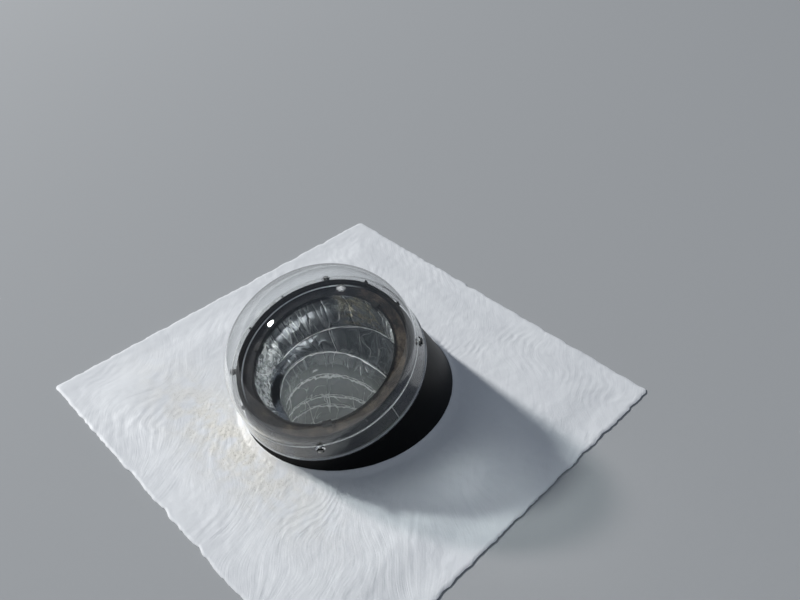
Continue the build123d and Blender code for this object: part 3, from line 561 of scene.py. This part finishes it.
deckScrew = {
    "headRadius": 5.5, "headHeight": 1.6, "rimHeight": 0.3, "recessHalf": 0.55, "recessReach": 2.2,
    "recessDepth": 1.0, "crossed": True, "shankRadius": 2.1, "neckRadius": 2.4, "neck": 5.5,
    "length": 32.0, "pitch": 1.8, "tip": 6.0, "seat": 4.5, "span": 540.0, "rows": 4,
}
rowAt = np.linspace(-deckScrew["span"] / 2, deckScrew["span"] / 2, deckScrew["rows"]) * mm
deckPlaces = [(x, y, deckScrew["seat"] * mm) for x in rowAt for y in rowAt
              if max(abs(x), abs(y)) > rowAt[-1] * 0.9]
setScrews("deckScrews", deckPlaces, [(0, 0, 1)] * len(deckPlaces), deckScrew, zincSteel,
          "flange_screws")
print("screws set")

# Light tube: rings of foil down a bent path, held out by leaning wire hoops and slack between them.
# A hoop is its depth below the mouth in mm, then its lean front to back and to the side in degrees
tube = {
    "radius": 129.0, "foil": 0.8, "mouth": 36.0, "lead": 92.0, "bend": 145.0, "end": -357.0,
    "hoops": ((88, 9, 0), (168, 13, 21), (231, 17, 21), (273, 17, 10), (303, 20, 12), (350, 10, 5),
              (396, 2, 0)),
    "collar": 30.0, "lap": 442.0, "rings": 150, "spokes": 216, "heldTop": (12, 40), "heldFoot": (430, 442),
    "wire": 0.9, "wireGap": 0.95, "wireSpokes": 160,
    "sag": 4.6, "tightSpan": 50.0, "foldDepth": 2.2, "foldWidth": 44.0, "foldLength": 150.0,
    "creaseDepth": 1.0, "creaseSize": 46.0, "crumpleDepth": 1.6, "crumpleSize": 8.0,
    "pleatDepth": 2.8, "pleatWidth": 15.0, "pleatLength": 170.0, "pleatTwist": 1.5, "drape": 2.2,
    "pocketAt": 232, "pocketSpan": 19, "pocketDeep": 143, "pocketDrop": 19, "paintedLighterDepths": (120, 270),
}
# parts of the wall: the azimuth of the middle, two cosines between which the side edges fade,
# and the depths in mm between which the top and bottom edges fade
wallParts = {
    "scuffed": (227, (0.78, 0.93), None, (82, 90)),  # rubbed and crumpled above the first hoop
    "glazed": (104, (0.86, 0.96), None, (80, 88)),  # an amber tint on slanted pleats
    "pleatedBack": (176, (0.83, 0.9), None, (80, 88)),  # upright pleats beside it
    "tight": (227, (0.6, 0.95), (84, 90), (108, 118)),  # pulled tight under the first hoop, and painted milky there as a bright reflection
    "draped": (227, (0.86, 0.97), (88, 112), (114, 128)),  # and dropping back under that
    "milky": (0, (0.1, 0.7), None, None),  # the +X side, where the light falls, painted milky from top to bottom
    "tucked": (183, (0.55, 0.7), None, (8, 11.5)),  # painted shade: the top edge is darkened behind the rubber lip
}
mouthCentre = seatCentre + seatUp * tube["mouth"] * mm
bendStart = mouthCentre - seatUp * tube["lead"] * mm
bendRadius = tube["bend"] * mm
straightTop = bendStart + bendRadius * np.array((0, 1 - math.cos(lean), -math.sin(lean)))
bendLength = bendRadius * lean
tubeLength = tube["lead"] * mm + bendLength + straightTop[2] - tube["end"] * mm

# Metallised laminate foil, crumpled by hand: grey mirror between folds, painted highlights drawn white along
# folds and hoops, and milky where painted light lifts it
silverFoil, tree, shader, place = newMaterial("silverFoil")
rest = addNode(tree, "Attribute", attribute_name="rest")["Vector"]
fold, crease, pleat, fromHoop, scuffed, hazed, glazed, doubled = [
    addNode(tree, "Attribute", attribute_name=title)["Fac"] for title in
    ("fold", "crease", "pleat", "fromHoop", "scuffed", "hazed", "glazed", "doubled")]
# a hoop's painted highlight shows as two lines that run together where the foil is tight, and wander where
# the painted haze lies
wander = addNode(tree, "TexNoise", {"Vector": rest, "Scale": 1 / (11 * mm), "Detail": 1.0})["Fac"]
wander = addNode(tree, "MapRange", {
    "Value": wander, "From Min": 0.3, "From Max": 0.7, "To Max": -4 * mm})[0]
twin = addNode(tree, "TexNoise", {"Vector": rest, "Scale": 1 / (26 * mm), "Detail": 2.0})["Fac"]
twin = addNode(tree, "MapRange", {
    "Value": twin, "From Min": 0.35, "From Max": 0.65, "To Max": -2.4 * mm})[0]
fromHoop = addNode(tree, "Math", {0: wander, 1: hazed, 2: fromHoop}, operation="MULTIPLY_ADD")[0]
fromHoop = addNode(tree, "Math", {0: fromHoop, 1: twin}, operation="ADD")[0]
paintedGlints, relief = 0.0, 0.0
# each fold, crease, pleat and hoop line is a painted highlight, fading along its length in patches
for off, width, share, hidden, glintPatchSize in (
        (fold, 0.007, 0.9, 0.05, 38), (crease, 0.007, 0.55, 0.0, 40), (pleat, 0.02, 0.6, 0.15, 30),
        (fromHoop, 1.0 * mm, 1.0, 0.7, 26)):
    glintPatches = addNode(tree, "TexNoise", {
        "Vector": rest, "Scale": 1 / (glintPatchSize * mm), "Detail": 2.0})["Fac"]
    off = addNode(tree, "Math", {0: off}, operation="ABSOLUTE")[0]
    drawn = addNode(tree, "MapRange", {
        "Value": off, "From Max": width * 1.6, "To Min": 1.0, "To Max": 0.0})[0]
    raised = addNode(tree, "MapRange", {
        "Value": off, "From Max": width * 7, "To Min": share, "To Max": 0.0},
                     interpolation_type="SMOOTHSTEP")[0]
    seen = addNode(tree, "MapRange", {
        "Value": glintPatches, "From Min": 0.48, "From Max": 0.66, "To Min": hidden, "To Max": share})[0]
    drawn = addNode(tree, "Math", {0: drawn, 1: seen}, operation="MULTIPLY")[0]
    paintedGlints = addNode(tree, "Math", {0: paintedGlints, 1: drawn}, operation="MAXIMUM")[0]
    relief = addNode(tree, "Math", {0: relief, 1: raised}, operation="ADD")[0]
# the crinkled part is lightened along with the painted highlights
crinkle = addNode(tree, "TexNoise", {
    "Vector": rest, "Scale": 1 / (8 * mm), "Detail": 3.0, "Distortion": 0.5})["Fac"]
crinkle = addNode(tree, "MapRange", {"Value": crinkle, "From Min": 0.42, "From Max": 0.62})[0]
crinkle = addNode(tree, "Math", {0: crinkle, 1: scuffed}, operation="MULTIPLY")[0]
paintedGlints = addNode(tree, "Math", {0: crinkle, 1: 0.55, 2: paintedGlints}, operation="MULTIPLY_ADD", use_clamp=True)[0]
relief = addNode(tree, "Math", {0: crinkle, 1: 0.7, 2: relief}, operation="MULTIPLY_ADD")[0]
# painted light and painted highlights lift the mirror towards milky white
paintedLightness = addNode(tree, "Math", {0: hazed, 1: 0.5, 2: paintedGlints}, operation="MULTIPLY_ADD", use_clamp=True)[0]
silver = addNode(tree, "ValToRGB", {0: paintedLightness}, [(0.0, "#989ca1"), (0.35, "#dcdfde"), (1.0, "#fdfdfc")])[0]
amber = addNode(tree, "TexNoise", {"Vector": rest, "Scale": 1 / (16 * mm), "Detail": 2.0})["Fac"]
amber = addNode(tree, "MapRange", {"Value": amber, "From Min": 0.42, "From Max": 0.6, "To Max": 0.5})[0]
amber = addNode(tree, "Math", {0: amber, 1: glazed}, operation="MULTIPLY")[0]
silver = addNode(tree, "Mix", {0: amber, 6: silver, 7: linear("#c9b78c")}, data_type="RGBA")[2]
# painted shade: black where the pocket and the rubber lip would throw shade
silver = addNode(tree, "Mix", {0: doubled, 6: silver, 7: linear("#0b0c0e")}, data_type="RGBA")[2]
feed(tree, shader, {
    "Base Color": silver,
    "Metallic": addNode(tree, "ValToRGB", {0: paintedLightness}, [(0.0, 0.94), (1.0, 0.1)])[0],
    "Roughness": addNode(tree, "ValToRGB", {0: paintedLightness}, [(0.0, 0.1), (1.0, 0.45)])[0],
    "Normal": addNode(tree, "Bump", {"Height": relief, "Distance": 0.9 * mm})[0]})


def tubeRing(distance, hoopLean, hoopSide, radius, spin):
    # one ring at a distance down the bent path, leaning to the path by two angles
    past = distance - tube["lead"] * mm
    if past <= 0:
        centre, tilt = mouthCentre - seatUp * distance, lean
    elif past <= bendLength:
        tilt = lean - past / bendRadius
        centre = bendStart + bendRadius * np.array((0, math.cos(tilt) - math.cos(lean),
                                                    math.sin(tilt) - math.sin(lean)))
    else:
        centre, tilt = straightTop - np.array((0, 0, past - bendLength)), 0
    tilt -= math.radians(hoopLean)
    side = math.radians(hoopSide)
    up = np.array((0, -math.sin(tilt), math.cos(tilt)))
    back = np.array((0, math.cos(tilt), math.sin(tilt)))
    across = math.cos(side) * np.array((1, 0, 0)) - math.sin(side) * up
    return centre + radius * (np.cos(spin)[:, None] * across + np.sin(spin)[:, None] * back)


spin = np.linspace(0, 2 * math.pi, tube["spokes"], endpoint=False)
stops = [(0, 0, 0), (tube["collar"], 0, 0), *tube["hoops"], (tube["lap"], 0, 0), (tubeLength / mm, 0, 0)]
stopAt = np.array([s[0] for s in stops]) * mm
along = {round(d, 5) for d in np.linspace(0, tubeLength, tube["rings"])}
for hoop in tube["hoops"]:
    along |= {round((hoop[0] + near) * mm, 5) for near in (-2.4, -1.2, -0.5, 0, 0.5, 1.2, 2.4)}
along = np.array(sorted(along))
depths = along / mm
rings, slackness = [], []
for distance in along:
    after = min(max(int(np.searchsorted(stopAt, distance)), 1), len(stops) - 1)
    gap = stopAt[after] - stopAt[after - 1]
    hoopLean, hoopSide = [np.interp(distance, stopAt, [s[i] for s in stops]) for i in (1, 2)]
    rings.append(tubeRing(distance, hoopLean, hoopSide, tube["radius"] * mm, spin))
    bulge = math.sin(math.pi * (distance - stopAt[after - 1]) / gap)**0.9 if 1 < after < len(stops) - 1 else 0
    slackness.append(bulge * min(1, gap / (tube["tightSpan"] * mm)))
foilRings = meshPiece("foilRings", rings, gridFaces(len(along), tube["spokes"]))

parts = {}
for title, (azimuth, sides, topEdge, footEdge) in wallParts.items():
    share = smoothStep(*sides, np.cos(spin - math.radians(azimuth)))[None] * np.ones((len(along), 1))
    if topEdge:
        share = share * smoothStep(*topEdge, depths)[:, None]
    if footEdge:
        share = share * (1 - smoothStep(*footEdge, depths))[:, None]
    parts[title] = share
# painted light: the wall turns milky further down the tube, across the lit +X side and the tight band, and a
# little where scuffed
paintedHaze = 0.95 * smoothStep(*tube["paintedLighterDepths"], depths)[:, None]
for title, amount in (("milky", 1.8), ("tight", 0.6), ("scuffed", 0.5)):
    paintedHaze = np.maximum(paintedHaze, amount * parts[title])
# painted shade: below the draped part, the shade of a deep slanting pocket is painted black
aside = (np.degrees(spin) - tube["pocketAt"])[None] / tube["pocketSpan"]
deeper = (depths[:, None] - tube["pocketDeep"]) / tube["pocketDrop"] + 0.7 * aside
paintedPocketShade = 1 - smoothStep(0.8, 1.0, np.hypot(aside, deeper))
held = (smoothStep(*tube["heldTop"], depths) * (1 - smoothStep(*tube["heldFoot"], depths)))[:, None]
toHoop = np.abs(along[:, None] - np.array([hoop[0] for hoop in tube["hoops"]]) * mm).min(1)
for title, values in (
        ("slack", held * (np.array(slackness)[:, None] + tube["drape"] * parts["draped"])),
        ("crumpled", held * parts["scuffed"]), ("scuffed", parts["scuffed"]), ("hazed", paintedHaze),
        ("glazed", parts["glazed"]), ("pleated", np.maximum(parts["glazed"], parts["pleatedBack"])),
        ("doubled", np.maximum(paintedPocketShade, parts["tucked"])), ("fromHoop", np.repeat(toHoop, len(spin)))):
    keepOnPoints(foilRings, title, values)
keepOnPoints(foilRings, "onWall", np.stack([
    np.tile(np.cos(spin), len(along)), np.tile(np.sin(spin), len(along)),
    np.repeat(along, len(spin)) / (tube["radius"] * mm)], 1))

foilSizes = {
    "Sag": tube["sag"] * mm, "Fold depth": tube["foldDepth"] * mm,
    "Folds around": tube["radius"] / tube["foldWidth"], "Folds along": tube["radius"] / tube["foldLength"],
    "Pleat depth": tube["pleatDepth"] * mm, "Pleats around": tube["radius"] / tube["pleatWidth"],
    "Pleats along": tube["radius"] / tube["pleatLength"], "Pleat twist": tube["pleatTwist"],
    "Crease depth": tube["creaseDepth"] * mm, "Creases per metre": 1 / (tube["creaseSize"] * mm),
    "Crumple depth": tube["crumpleDepth"] * mm, "Crumples per metre": 1 / (tube["crumpleSize"] * mm),
}
foilTree, foilSockets, given = newTree("crumpledFoil", {
    **dict.fromkeys(foilSizes, "NodeSocketFloat"), "Foil": "NodeSocketMaterial"})
slack, crumpled, pleated, glazed, onWall = [
    addNode(foilTree, "GeometryNodeInputNamedAttribute", {"Name": title}, data_type=kind)["Attribute"]
    for title, kind in (("slack", "FLOAT"), ("crumpled", "FLOAT"), ("pleated", "FLOAT"),
                        ("glazed", "FLOAT"), ("onWall", "FLOAT_VECTOR"))]
place = addNode(foilTree, "GeometryNodeInputPosition")[0]
# long folds run down the tube and loop back, short creases lie any way; each ridge is where its noise is 0.5
stretch = addNode(foilTree, "CombineXYZ", {
    "X": given["Folds around"], "Y": given["Folds around"], "Z": given["Folds along"]})[0]
foldPoint = addNode(foilTree, "VectorMath", {0: onWall, 1: stretch}, operation="MULTIPLY")[0]
fold = addNode(foilTree, "TexNoise", {
    "Vector": foldPoint, "Scale": 1.0, "Detail": 0.0, "Distortion": 0.5})["Fac"]
# pleats run straight down, and slant where the wall is tinted amber
downWall = addNode(foilTree, "SeparateXYZ", {0: onWall})["Z"]
twist = addNode(foilTree, "Math", {0: downWall, 1: given["Pleat twist"]}, operation="MULTIPLY")[0]
twist = addNode(foilTree, "Math", {0: twist, 1: glazed}, operation="MULTIPLY")[0]
twisted = addNode(foilTree, "VectorRotate", {"Vector": onWall, "Angle": twist}, rotation_type="Z_AXIS")[0]
stretch = addNode(foilTree, "CombineXYZ", {
    "X": given["Pleats around"], "Y": given["Pleats around"], "Z": given["Pleats along"]})[0]
pleatPoint = addNode(foilTree, "VectorMath", {0: twisted, 1: stretch}, operation="MULTIPLY")[0]
pleat = addNode(foilTree, "TexNoise", {"Vector": pleatPoint, "Scale": 1.0, "Detail": 0.0})["Fac"]
crease = addNode(foilTree, "TexNoise", {
    "Vector": place, "Scale": given["Creases per metre"], "Detail": 0.0, "Distortion": 0.8})["Fac"]
crumple = addNode(foilTree, "TexNoise", {
    "Vector": place, "Scale": given["Crumples per metre"], "Detail": 2.0, "Distortion": 0.6})["Fac"]
fold, crease, pleat = [addNode(foilTree, "Math", {0: value, 1: 0.5}, operation="SUBTRACT")[0]
                       for value in (fold, crease, pleat)]
# pleats are kept to their own part of the wall
elsewhere = addNode(foilTree, "Math", {0: 1.0, 1: pleated}, operation="SUBTRACT")[0]
pleat = addNode(foilTree, "Math", {0: pleat, 1: elsewhere}, operation="ADD")[0]
inward = given["Sag"]
for offset, reach, depth in ((fold, 0.18, "Fold depth"), (crease, 0.12, "Crease depth"),
                             (pleat, 0.14, "Pleat depth")):
    away = addNode(foilTree, "Math", {0: offset}, operation="ABSOLUTE")[0]
    ridge = addNode(foilTree, "MapRange", {
        "Value": away, "From Max": reach, "To Min": 1.0, "To Max": 0.0})[0]
    inward = addNode(foilTree, "Math", {0: ridge, 1: given[depth], 2: inward}, operation="MULTIPLY_ADD")[0]
inward = addNode(foilTree, "Math", {0: inward, 1: slack}, operation="MULTIPLY")[0]
crumple = addNode(foilTree, "Math", {0: crumple, 1: crumpled}, operation="MULTIPLY")[0]
inward = addNode(foilTree, "Math", {
    0: crumple, 1: given["Crumple depth"], 2: inward}, operation="MULTIPLY_ADD")[0]
normal = addNode(foilTree, "GeometryNodeInputNormal")[0]
push = addNode(foilTree, "VectorMath", {0: normal, "Scale": inward}, operation="SCALE")[0]
geometry = given["Geometry"]
for title, value, kind in (("rest", place, "FLOAT_VECTOR"), ("fold", fold, "FLOAT"),
                           ("crease", crease, "FLOAT"), ("pleat", pleat, "FLOAT")):
    geometry = addNode(foilTree, "GeometryNodeStoreNamedAttribute", {
        "Geometry": geometry, "Name": title, "Value": value}, data_type=kind, domain="POINT")[0]
moved = addNode(foilTree, "GeometryNodeSetPosition", {"Geometry": geometry, "Offset": push})[0]
endTree(foilTree, moved, given["Foil"])
foilTube = bake(foilRings, foilTree, foilSockets, {**foilSizes, "Foil": silverFoil}, "foilTube")
thicken = foilTube.modifiers.new("foil", "SOLIDIFY")
thicken.thickness, thicken.offset = tube["foil"] * mm, 1.0
finished(foilTube, "light_tube")

# Hoops: a round wire swept along each leaning ring
wireTree, wireSockets, given = newTree("sweptWire", {
    "Wire radius": "NodeSocketFloat", "Wire": "NodeSocketMaterial"})
loops = addNode(wireTree, "GeometryNodeMeshToCurve", {"Mesh": given["Geometry"]})[0]
section = addNode(wireTree, "GeometryNodeCurvePrimitiveCircle", {
    "Resolution": 10, "Radius": given["Wire radius"]})[0]
swept = addNode(wireTree, "GeometryNodeCurveToMesh", {"Curve": loops, "Profile Curve": section})[0]
endTree(wireTree, swept, given["Wire"])
steps = tube["wireSpokes"]
loopSpin = np.linspace(0, 2 * math.pi, steps, endpoint=False)
loopRadius = (tube["radius"] + tube["wireGap"] + tube["wire"]) * mm
loopPoints = np.array([tubeRing(d * mm, a, b, loopRadius, loopSpin) for d, a, b in tube["hoops"]])
loopEdges = [(h * steps + i, h * steps + (i + 1) % steps) for h in range(len(tube["hoops"]))
             for i in range(steps)]
loopMesh = bpy.data.meshes.new("hoopLines")
loopMesh.from_pydata(loopPoints.reshape(-1, 3).tolist(), loopEdges, [])
hoopLines = bpy.data.objects.new("hoopLines", loopMesh)
bpy.context.collection.objects.link(hoopLines)
tubeHoops = bake(hoopLines, wireTree, wireSockets, {
    "Wire radius": tube["wire"] * mm, "Wire": springSteel}, "tubeHoops")
tubeHoops.data.shade_smooth()
finished(tubeHoops, "tube_hoops")
print("tube made")

# Coating patch: rings from the turret's foot out to the square edge, brushed and ragged
patch = {
    "halfX": 401.0, "halfY": 395.0, "shiftX": -3.3, "shiftY": 4.0, "corner": 8.0,
    "thin": 2.6, "overFlange": 6.9, "flangeHalf": 302.4, "slope": 62.0, "flangeTop": 4.5, "thinnest": 1.2,
    "seatHalf": 300.2, "seatCorner": 24.2, "footX": 185.0, "footY": 205.0, "coveHeight": 14.0,
    "coveWidth": 14.0, "coveFoot": 1.6, "ragged": 3.0, "ripple": 0.26, "rippleSize": 17.0, "lumps": 0.5,
    "heading": 35.0, "sweep": 60.0, "sweepSize": 190.0, "pitsAt": (-60, -235), "pitsSpread": (190, 55),
    "pitGrain": 0.9, "columns": 720, "rows": 84, "rowPull": 1.15, "footInset": 0.992, "underInset": 0.99,
    "coveCurve": 1.8,
}

# White elastomeric coating, brushed on thick: satin with brush lines, cream and pinholed where it is thin
whiteCoating, tree, shader, place = newMaterial("whiteCoating")
pitted = addNode(tree, "Attribute", attribute_name="pitted")["Fac"]
stroked = addNode(tree, "Attribute", attribute_name="stroked")["Vector"]
tone = addNode(tree, "TexNoise", {"Vector": place, "Scale": 1 / (110 * mm), "Detail": 5.0})["Fac"]
fleck = addNode(tree, "TexVoronoi", {"Vector": place, "Scale": 1 / (3.4 * mm)})["Distance"]
holes = addNode(tree, "MapRange", {
    "Value": fleck, "From Min": 0.1, "From Max": 0.3, "To Min": 1.0, "To Max": 0.0})[0]
holes = addNode(tree, "Math", {0: holes, 1: pitted}, operation="MULTIPLY")[0]
plain = addNode(tree, "ValToRGB", {0: tone}, [(0.3, "#e6e8ea"), (0.7, "#eff1f2")])[0]
cream = addNode(tree, "Mix", {0: pitted, 6: plain, 7: linear("#e9e6dd")}, data_type="RGBA")[2]
specked = addNode(tree, "Mix", {0: holes, 6: cream, 7: linear("#a8a297")}, data_type="RGBA")[2]
bristles = addNode(tree, "Mapping", {"Vector": stroked, "Scale": (1 / (2.6 * mm), 1 / (34 * mm), 1)})[0]
bristles = addNode(tree, "TexNoise", {"Vector": bristles, "Scale": 1.0, "Detail": 3.0})["Fac"]
skin = addNode(tree, "TexNoise", {"Vector": place, "Scale": 1 / (3 * mm), "Detail": 3.0})["Fac"]
height = addNode(tree, "Math", {0: skin, 1: 0.3, 2: bristles}, operation="MULTIPLY_ADD")[0]
height = addNode(tree, "Math", {0: holes, 1: -0.8, 2: height}, operation="MULTIPLY_ADD")[0]
feed(tree, shader, {
    "Base Color": specked, "Roughness": 0.5,
    "Normal": addNode(tree, "Bump", {"Height": height, "Distance": 0.42 * mm})[0]})


def squareLine(halfX, halfY, corner, spin):
    # where a ray at each azimuth meets a rounded rectangle
    c, s = np.cos(spin), np.sin(spin)
    low, high = np.zeros_like(spin), np.full_like(spin, 2 * (halfX + halfY))
    for _ in range(40):
        reach = (low + high) / 2
        dx = np.maximum(np.abs(reach * c) - (halfX - corner), 0)
        dy = np.maximum(np.abs(reach * s) - (halfY - corner), 0)
        beyond = np.hypot(dx, dy) > corner
        low, high = np.where(beyond, low, reach), np.where(beyond, reach, high)
    return np.stack([low * c, low * s], 1)


# columns are spread evenly along the square edge, so the grid is even there
even = np.linspace(0, 2 * math.pi, 4000, endpoint=False)
edgeLine = squareLine(patch["halfX"], patch["halfY"], patch["corner"], even)
passedBy = np.r_[0, np.cumsum(np.linalg.norm(np.roll(edgeLine, -1, 0) - edgeLine, axis=1))]
spin = np.interp(np.linspace(0, passedBy[-1], patch["columns"], endpoint=False),
                 passedBy, np.r_[even, 2 * math.pi])
edge = squareLine(patch["halfX"], patch["halfY"], patch["corner"], spin)
wobble = np.array([noise.fractal(Vector((*p, 3.0)) * 0.03, 0.7, 2.0, 5) for p in edge])
inwards = edge / np.linalg.norm(edge, axis=1)[:, None]
edge = edge - inwards * (patch["ragged"] * np.clip(0.5 + wobble * 1.3, 0, 2))[:, None]
edge += np.array((patch["shiftX"], patch["shiftY"]))
ellipse = np.stack([np.cos(spin), np.sin(spin)], 1)
ellipse /= np.hypot(ellipse[:, 0] / patch["footX"], ellipse[:, 1] / patch["footY"])[:, None]
# rows are closest at the turret's foot, where they start just inside it
shares = np.linspace(0, 1, patch["rows"])**patch["rowPull"]
flat = ellipse * patch["footInset"] + (edge - ellipse * patch["footInset"]) * shares[:, None, None]
x, y = flat[..., 0], flat[..., 1]
out = np.maximum(np.abs(x), np.abs(y)) - patch["flangeHalf"]
level = patch["thin"] + (patch["overFlange"] - patch["thin"]) * (1 - smoothStep(-10, patch["slope"], out))
fromFoot = (np.hypot(x / patch["footX"], y / patch["footY"]) - 1) * (patch["footX"] + patch["footY"]) / 2
climb = np.clip(1 - (fromFoot - patch["coveFoot"]) / (patch["coveWidth"] - patch["coveFoot"]), 0, 1.1)
level += (patch["coveHeight"] - patch["overFlange"]) * climb**patch["coveCurve"]


def field(scale, seed, octaves=3):
    # a wavy value at each point of the grid; scale is per millimetre
    return np.array([noise.fractal(Vector((px * scale, py * scale, seed)), 0.9, 2.0, octaves)
                     for px, py in zip(x.ravel(), y.ravel())]).reshape(x.shape)


# brush strokes wander across the patch; one coordinate runs across them and one along them
heading = math.radians(patch["heading"])
asideBy, aheadBy = [patch["sweep"] * field(1 / patch["sweepSize"], seed, 2) for seed in (4.0, 9.0)]
across = x * math.cos(heading) + y * math.sin(heading) + asideBy
onward = y * math.cos(heading) - x * math.sin(heading) + aheadBy
ripple = np.sin(2 * math.pi * across / patch["rippleSize"] + 3 * field(0.03, 12.0, 2))
strength = np.clip(1.7 * field(0.011, 15.0, 2) + 0.3, 0.04, 1.1)
level += patch["ripple"] * strength * ripple + patch["lumps"] * field(0.045, 22.0, 4)
level = np.maximum(level, patch["thinnest"])
level[-1] = np.maximum(level[-1] - patch["thinnest"], patch["thinnest"] / 2)
(pitX, pitY), (wideX, wideY) = patch["pitsAt"], patch["pitsSpread"]
pitZone = (np.exp(-((x - pitX)**2 / wideX**2 + (y - pitY)**2 / wideY**2))
           * np.clip(0.7 + field(0.03, 31.0, 3) * 1.4, 0, 1))
level += pitZone * patch["pitGrain"] * field(0.16, 40.0, 3)
topRows = np.concatenate([flat, level[..., None]], 2)
square = squareLine(patch["seatHalf"], patch["seatHalf"], patch["seatCorner"], spin)
onRoof, onFlange = 0 * spin, 0 * spin + patch["flangeTop"]
under = [np.c_[edge, onRoof], np.c_[square, onRoof], np.c_[square, onFlange],
         np.c_[ellipse * patch["underInset"], onFlange]]
allRows = np.concatenate([topRows, np.array(under)])
coatingPatch = meshPiece("coatingPatch", allRows * mm, gridFaces(len(allRows), len(spin), closeRows=True),
                         whiteCoating)
keepOnPoints(coatingPatch, "pitted", np.r_[pitZone.ravel(), np.zeros(len(under) * len(spin))])
strokes = np.zeros((len(allRows) * len(spin), 3))
strokes[:x.size, 0] = across.ravel() * mm
strokes[:x.size, 1] = onward.ravel() * mm
keepOnPoints(coatingPatch, "stroked", strokes)
weld(coatingPatch, 60)
finished(coatingPatch, "roof_coating")

# Floor with a square hole under the flange, and soft studio light from the photograph's side
studio = {
    "floor": "#adafb0", "hole": 0.3, "reach": 12.0, "drop": 0.0005, "key": 6300.0, "keySize": 2.0,
    "keyAt": (-20.0, -6.1, 12.3), "horizon": "#5d5f63", "overhead": "#727a86", "below": "#5d5f63",
}
# Floor paint, rolled: pale, even and matt
floorPaint, tree, shader, place = newMaterial("floorPaint")
feed(tree, shader, {"Roughness": 0.9, "Base Color": linear(studio["floor"])})
corners = [(sx * r, sy * r, -studio["drop"]) for r in (studio["hole"], studio["reach"])
           for sx, sy in ((-1, -1), (1, -1), (1, 1), (-1, 1))]
floor = meshPiece("floor", corners, gridFaces(2, 4), floorPaint)
weld(floor)
keyLight = bpy.data.objects.new("keyLight", bpy.data.lights.new("keyLight", "AREA"))
keyLight.data.shape, keyLight.data.size, keyLight.data.energy = "DISK", studio["keySize"], studio["key"]
keyLight.location = studio["keyAt"]
keyLight.rotation_euler = (Vector(seatCentre) - keyLight.location).to_track_quat("-Z", "Y").to_euler()
bpy.context.collection.objects.link(keyLight)
# a cool fill, lightest overhead, as in a tented studio
world = bpy.data.worlds.new("studio")
bpy.context.scene.world = world
world.use_nodes = True
tree = world.node_tree
upward = addNode(tree, "SeparateXYZ", {0: addNode(tree, "TexCoord")["Generated"]})["Z"]
glow = addNode(tree, "ValToRGB", {0: upward}, [
    (0.0, studio["below"]), (0.03, studio["horizon"]), (0.8, studio["overhead"])])[0]
feed(tree, tree.nodes["Background"], {"Color": glow})
bpy.context.scene.view_settings.view_transform = "Standard"
print("studio lit")
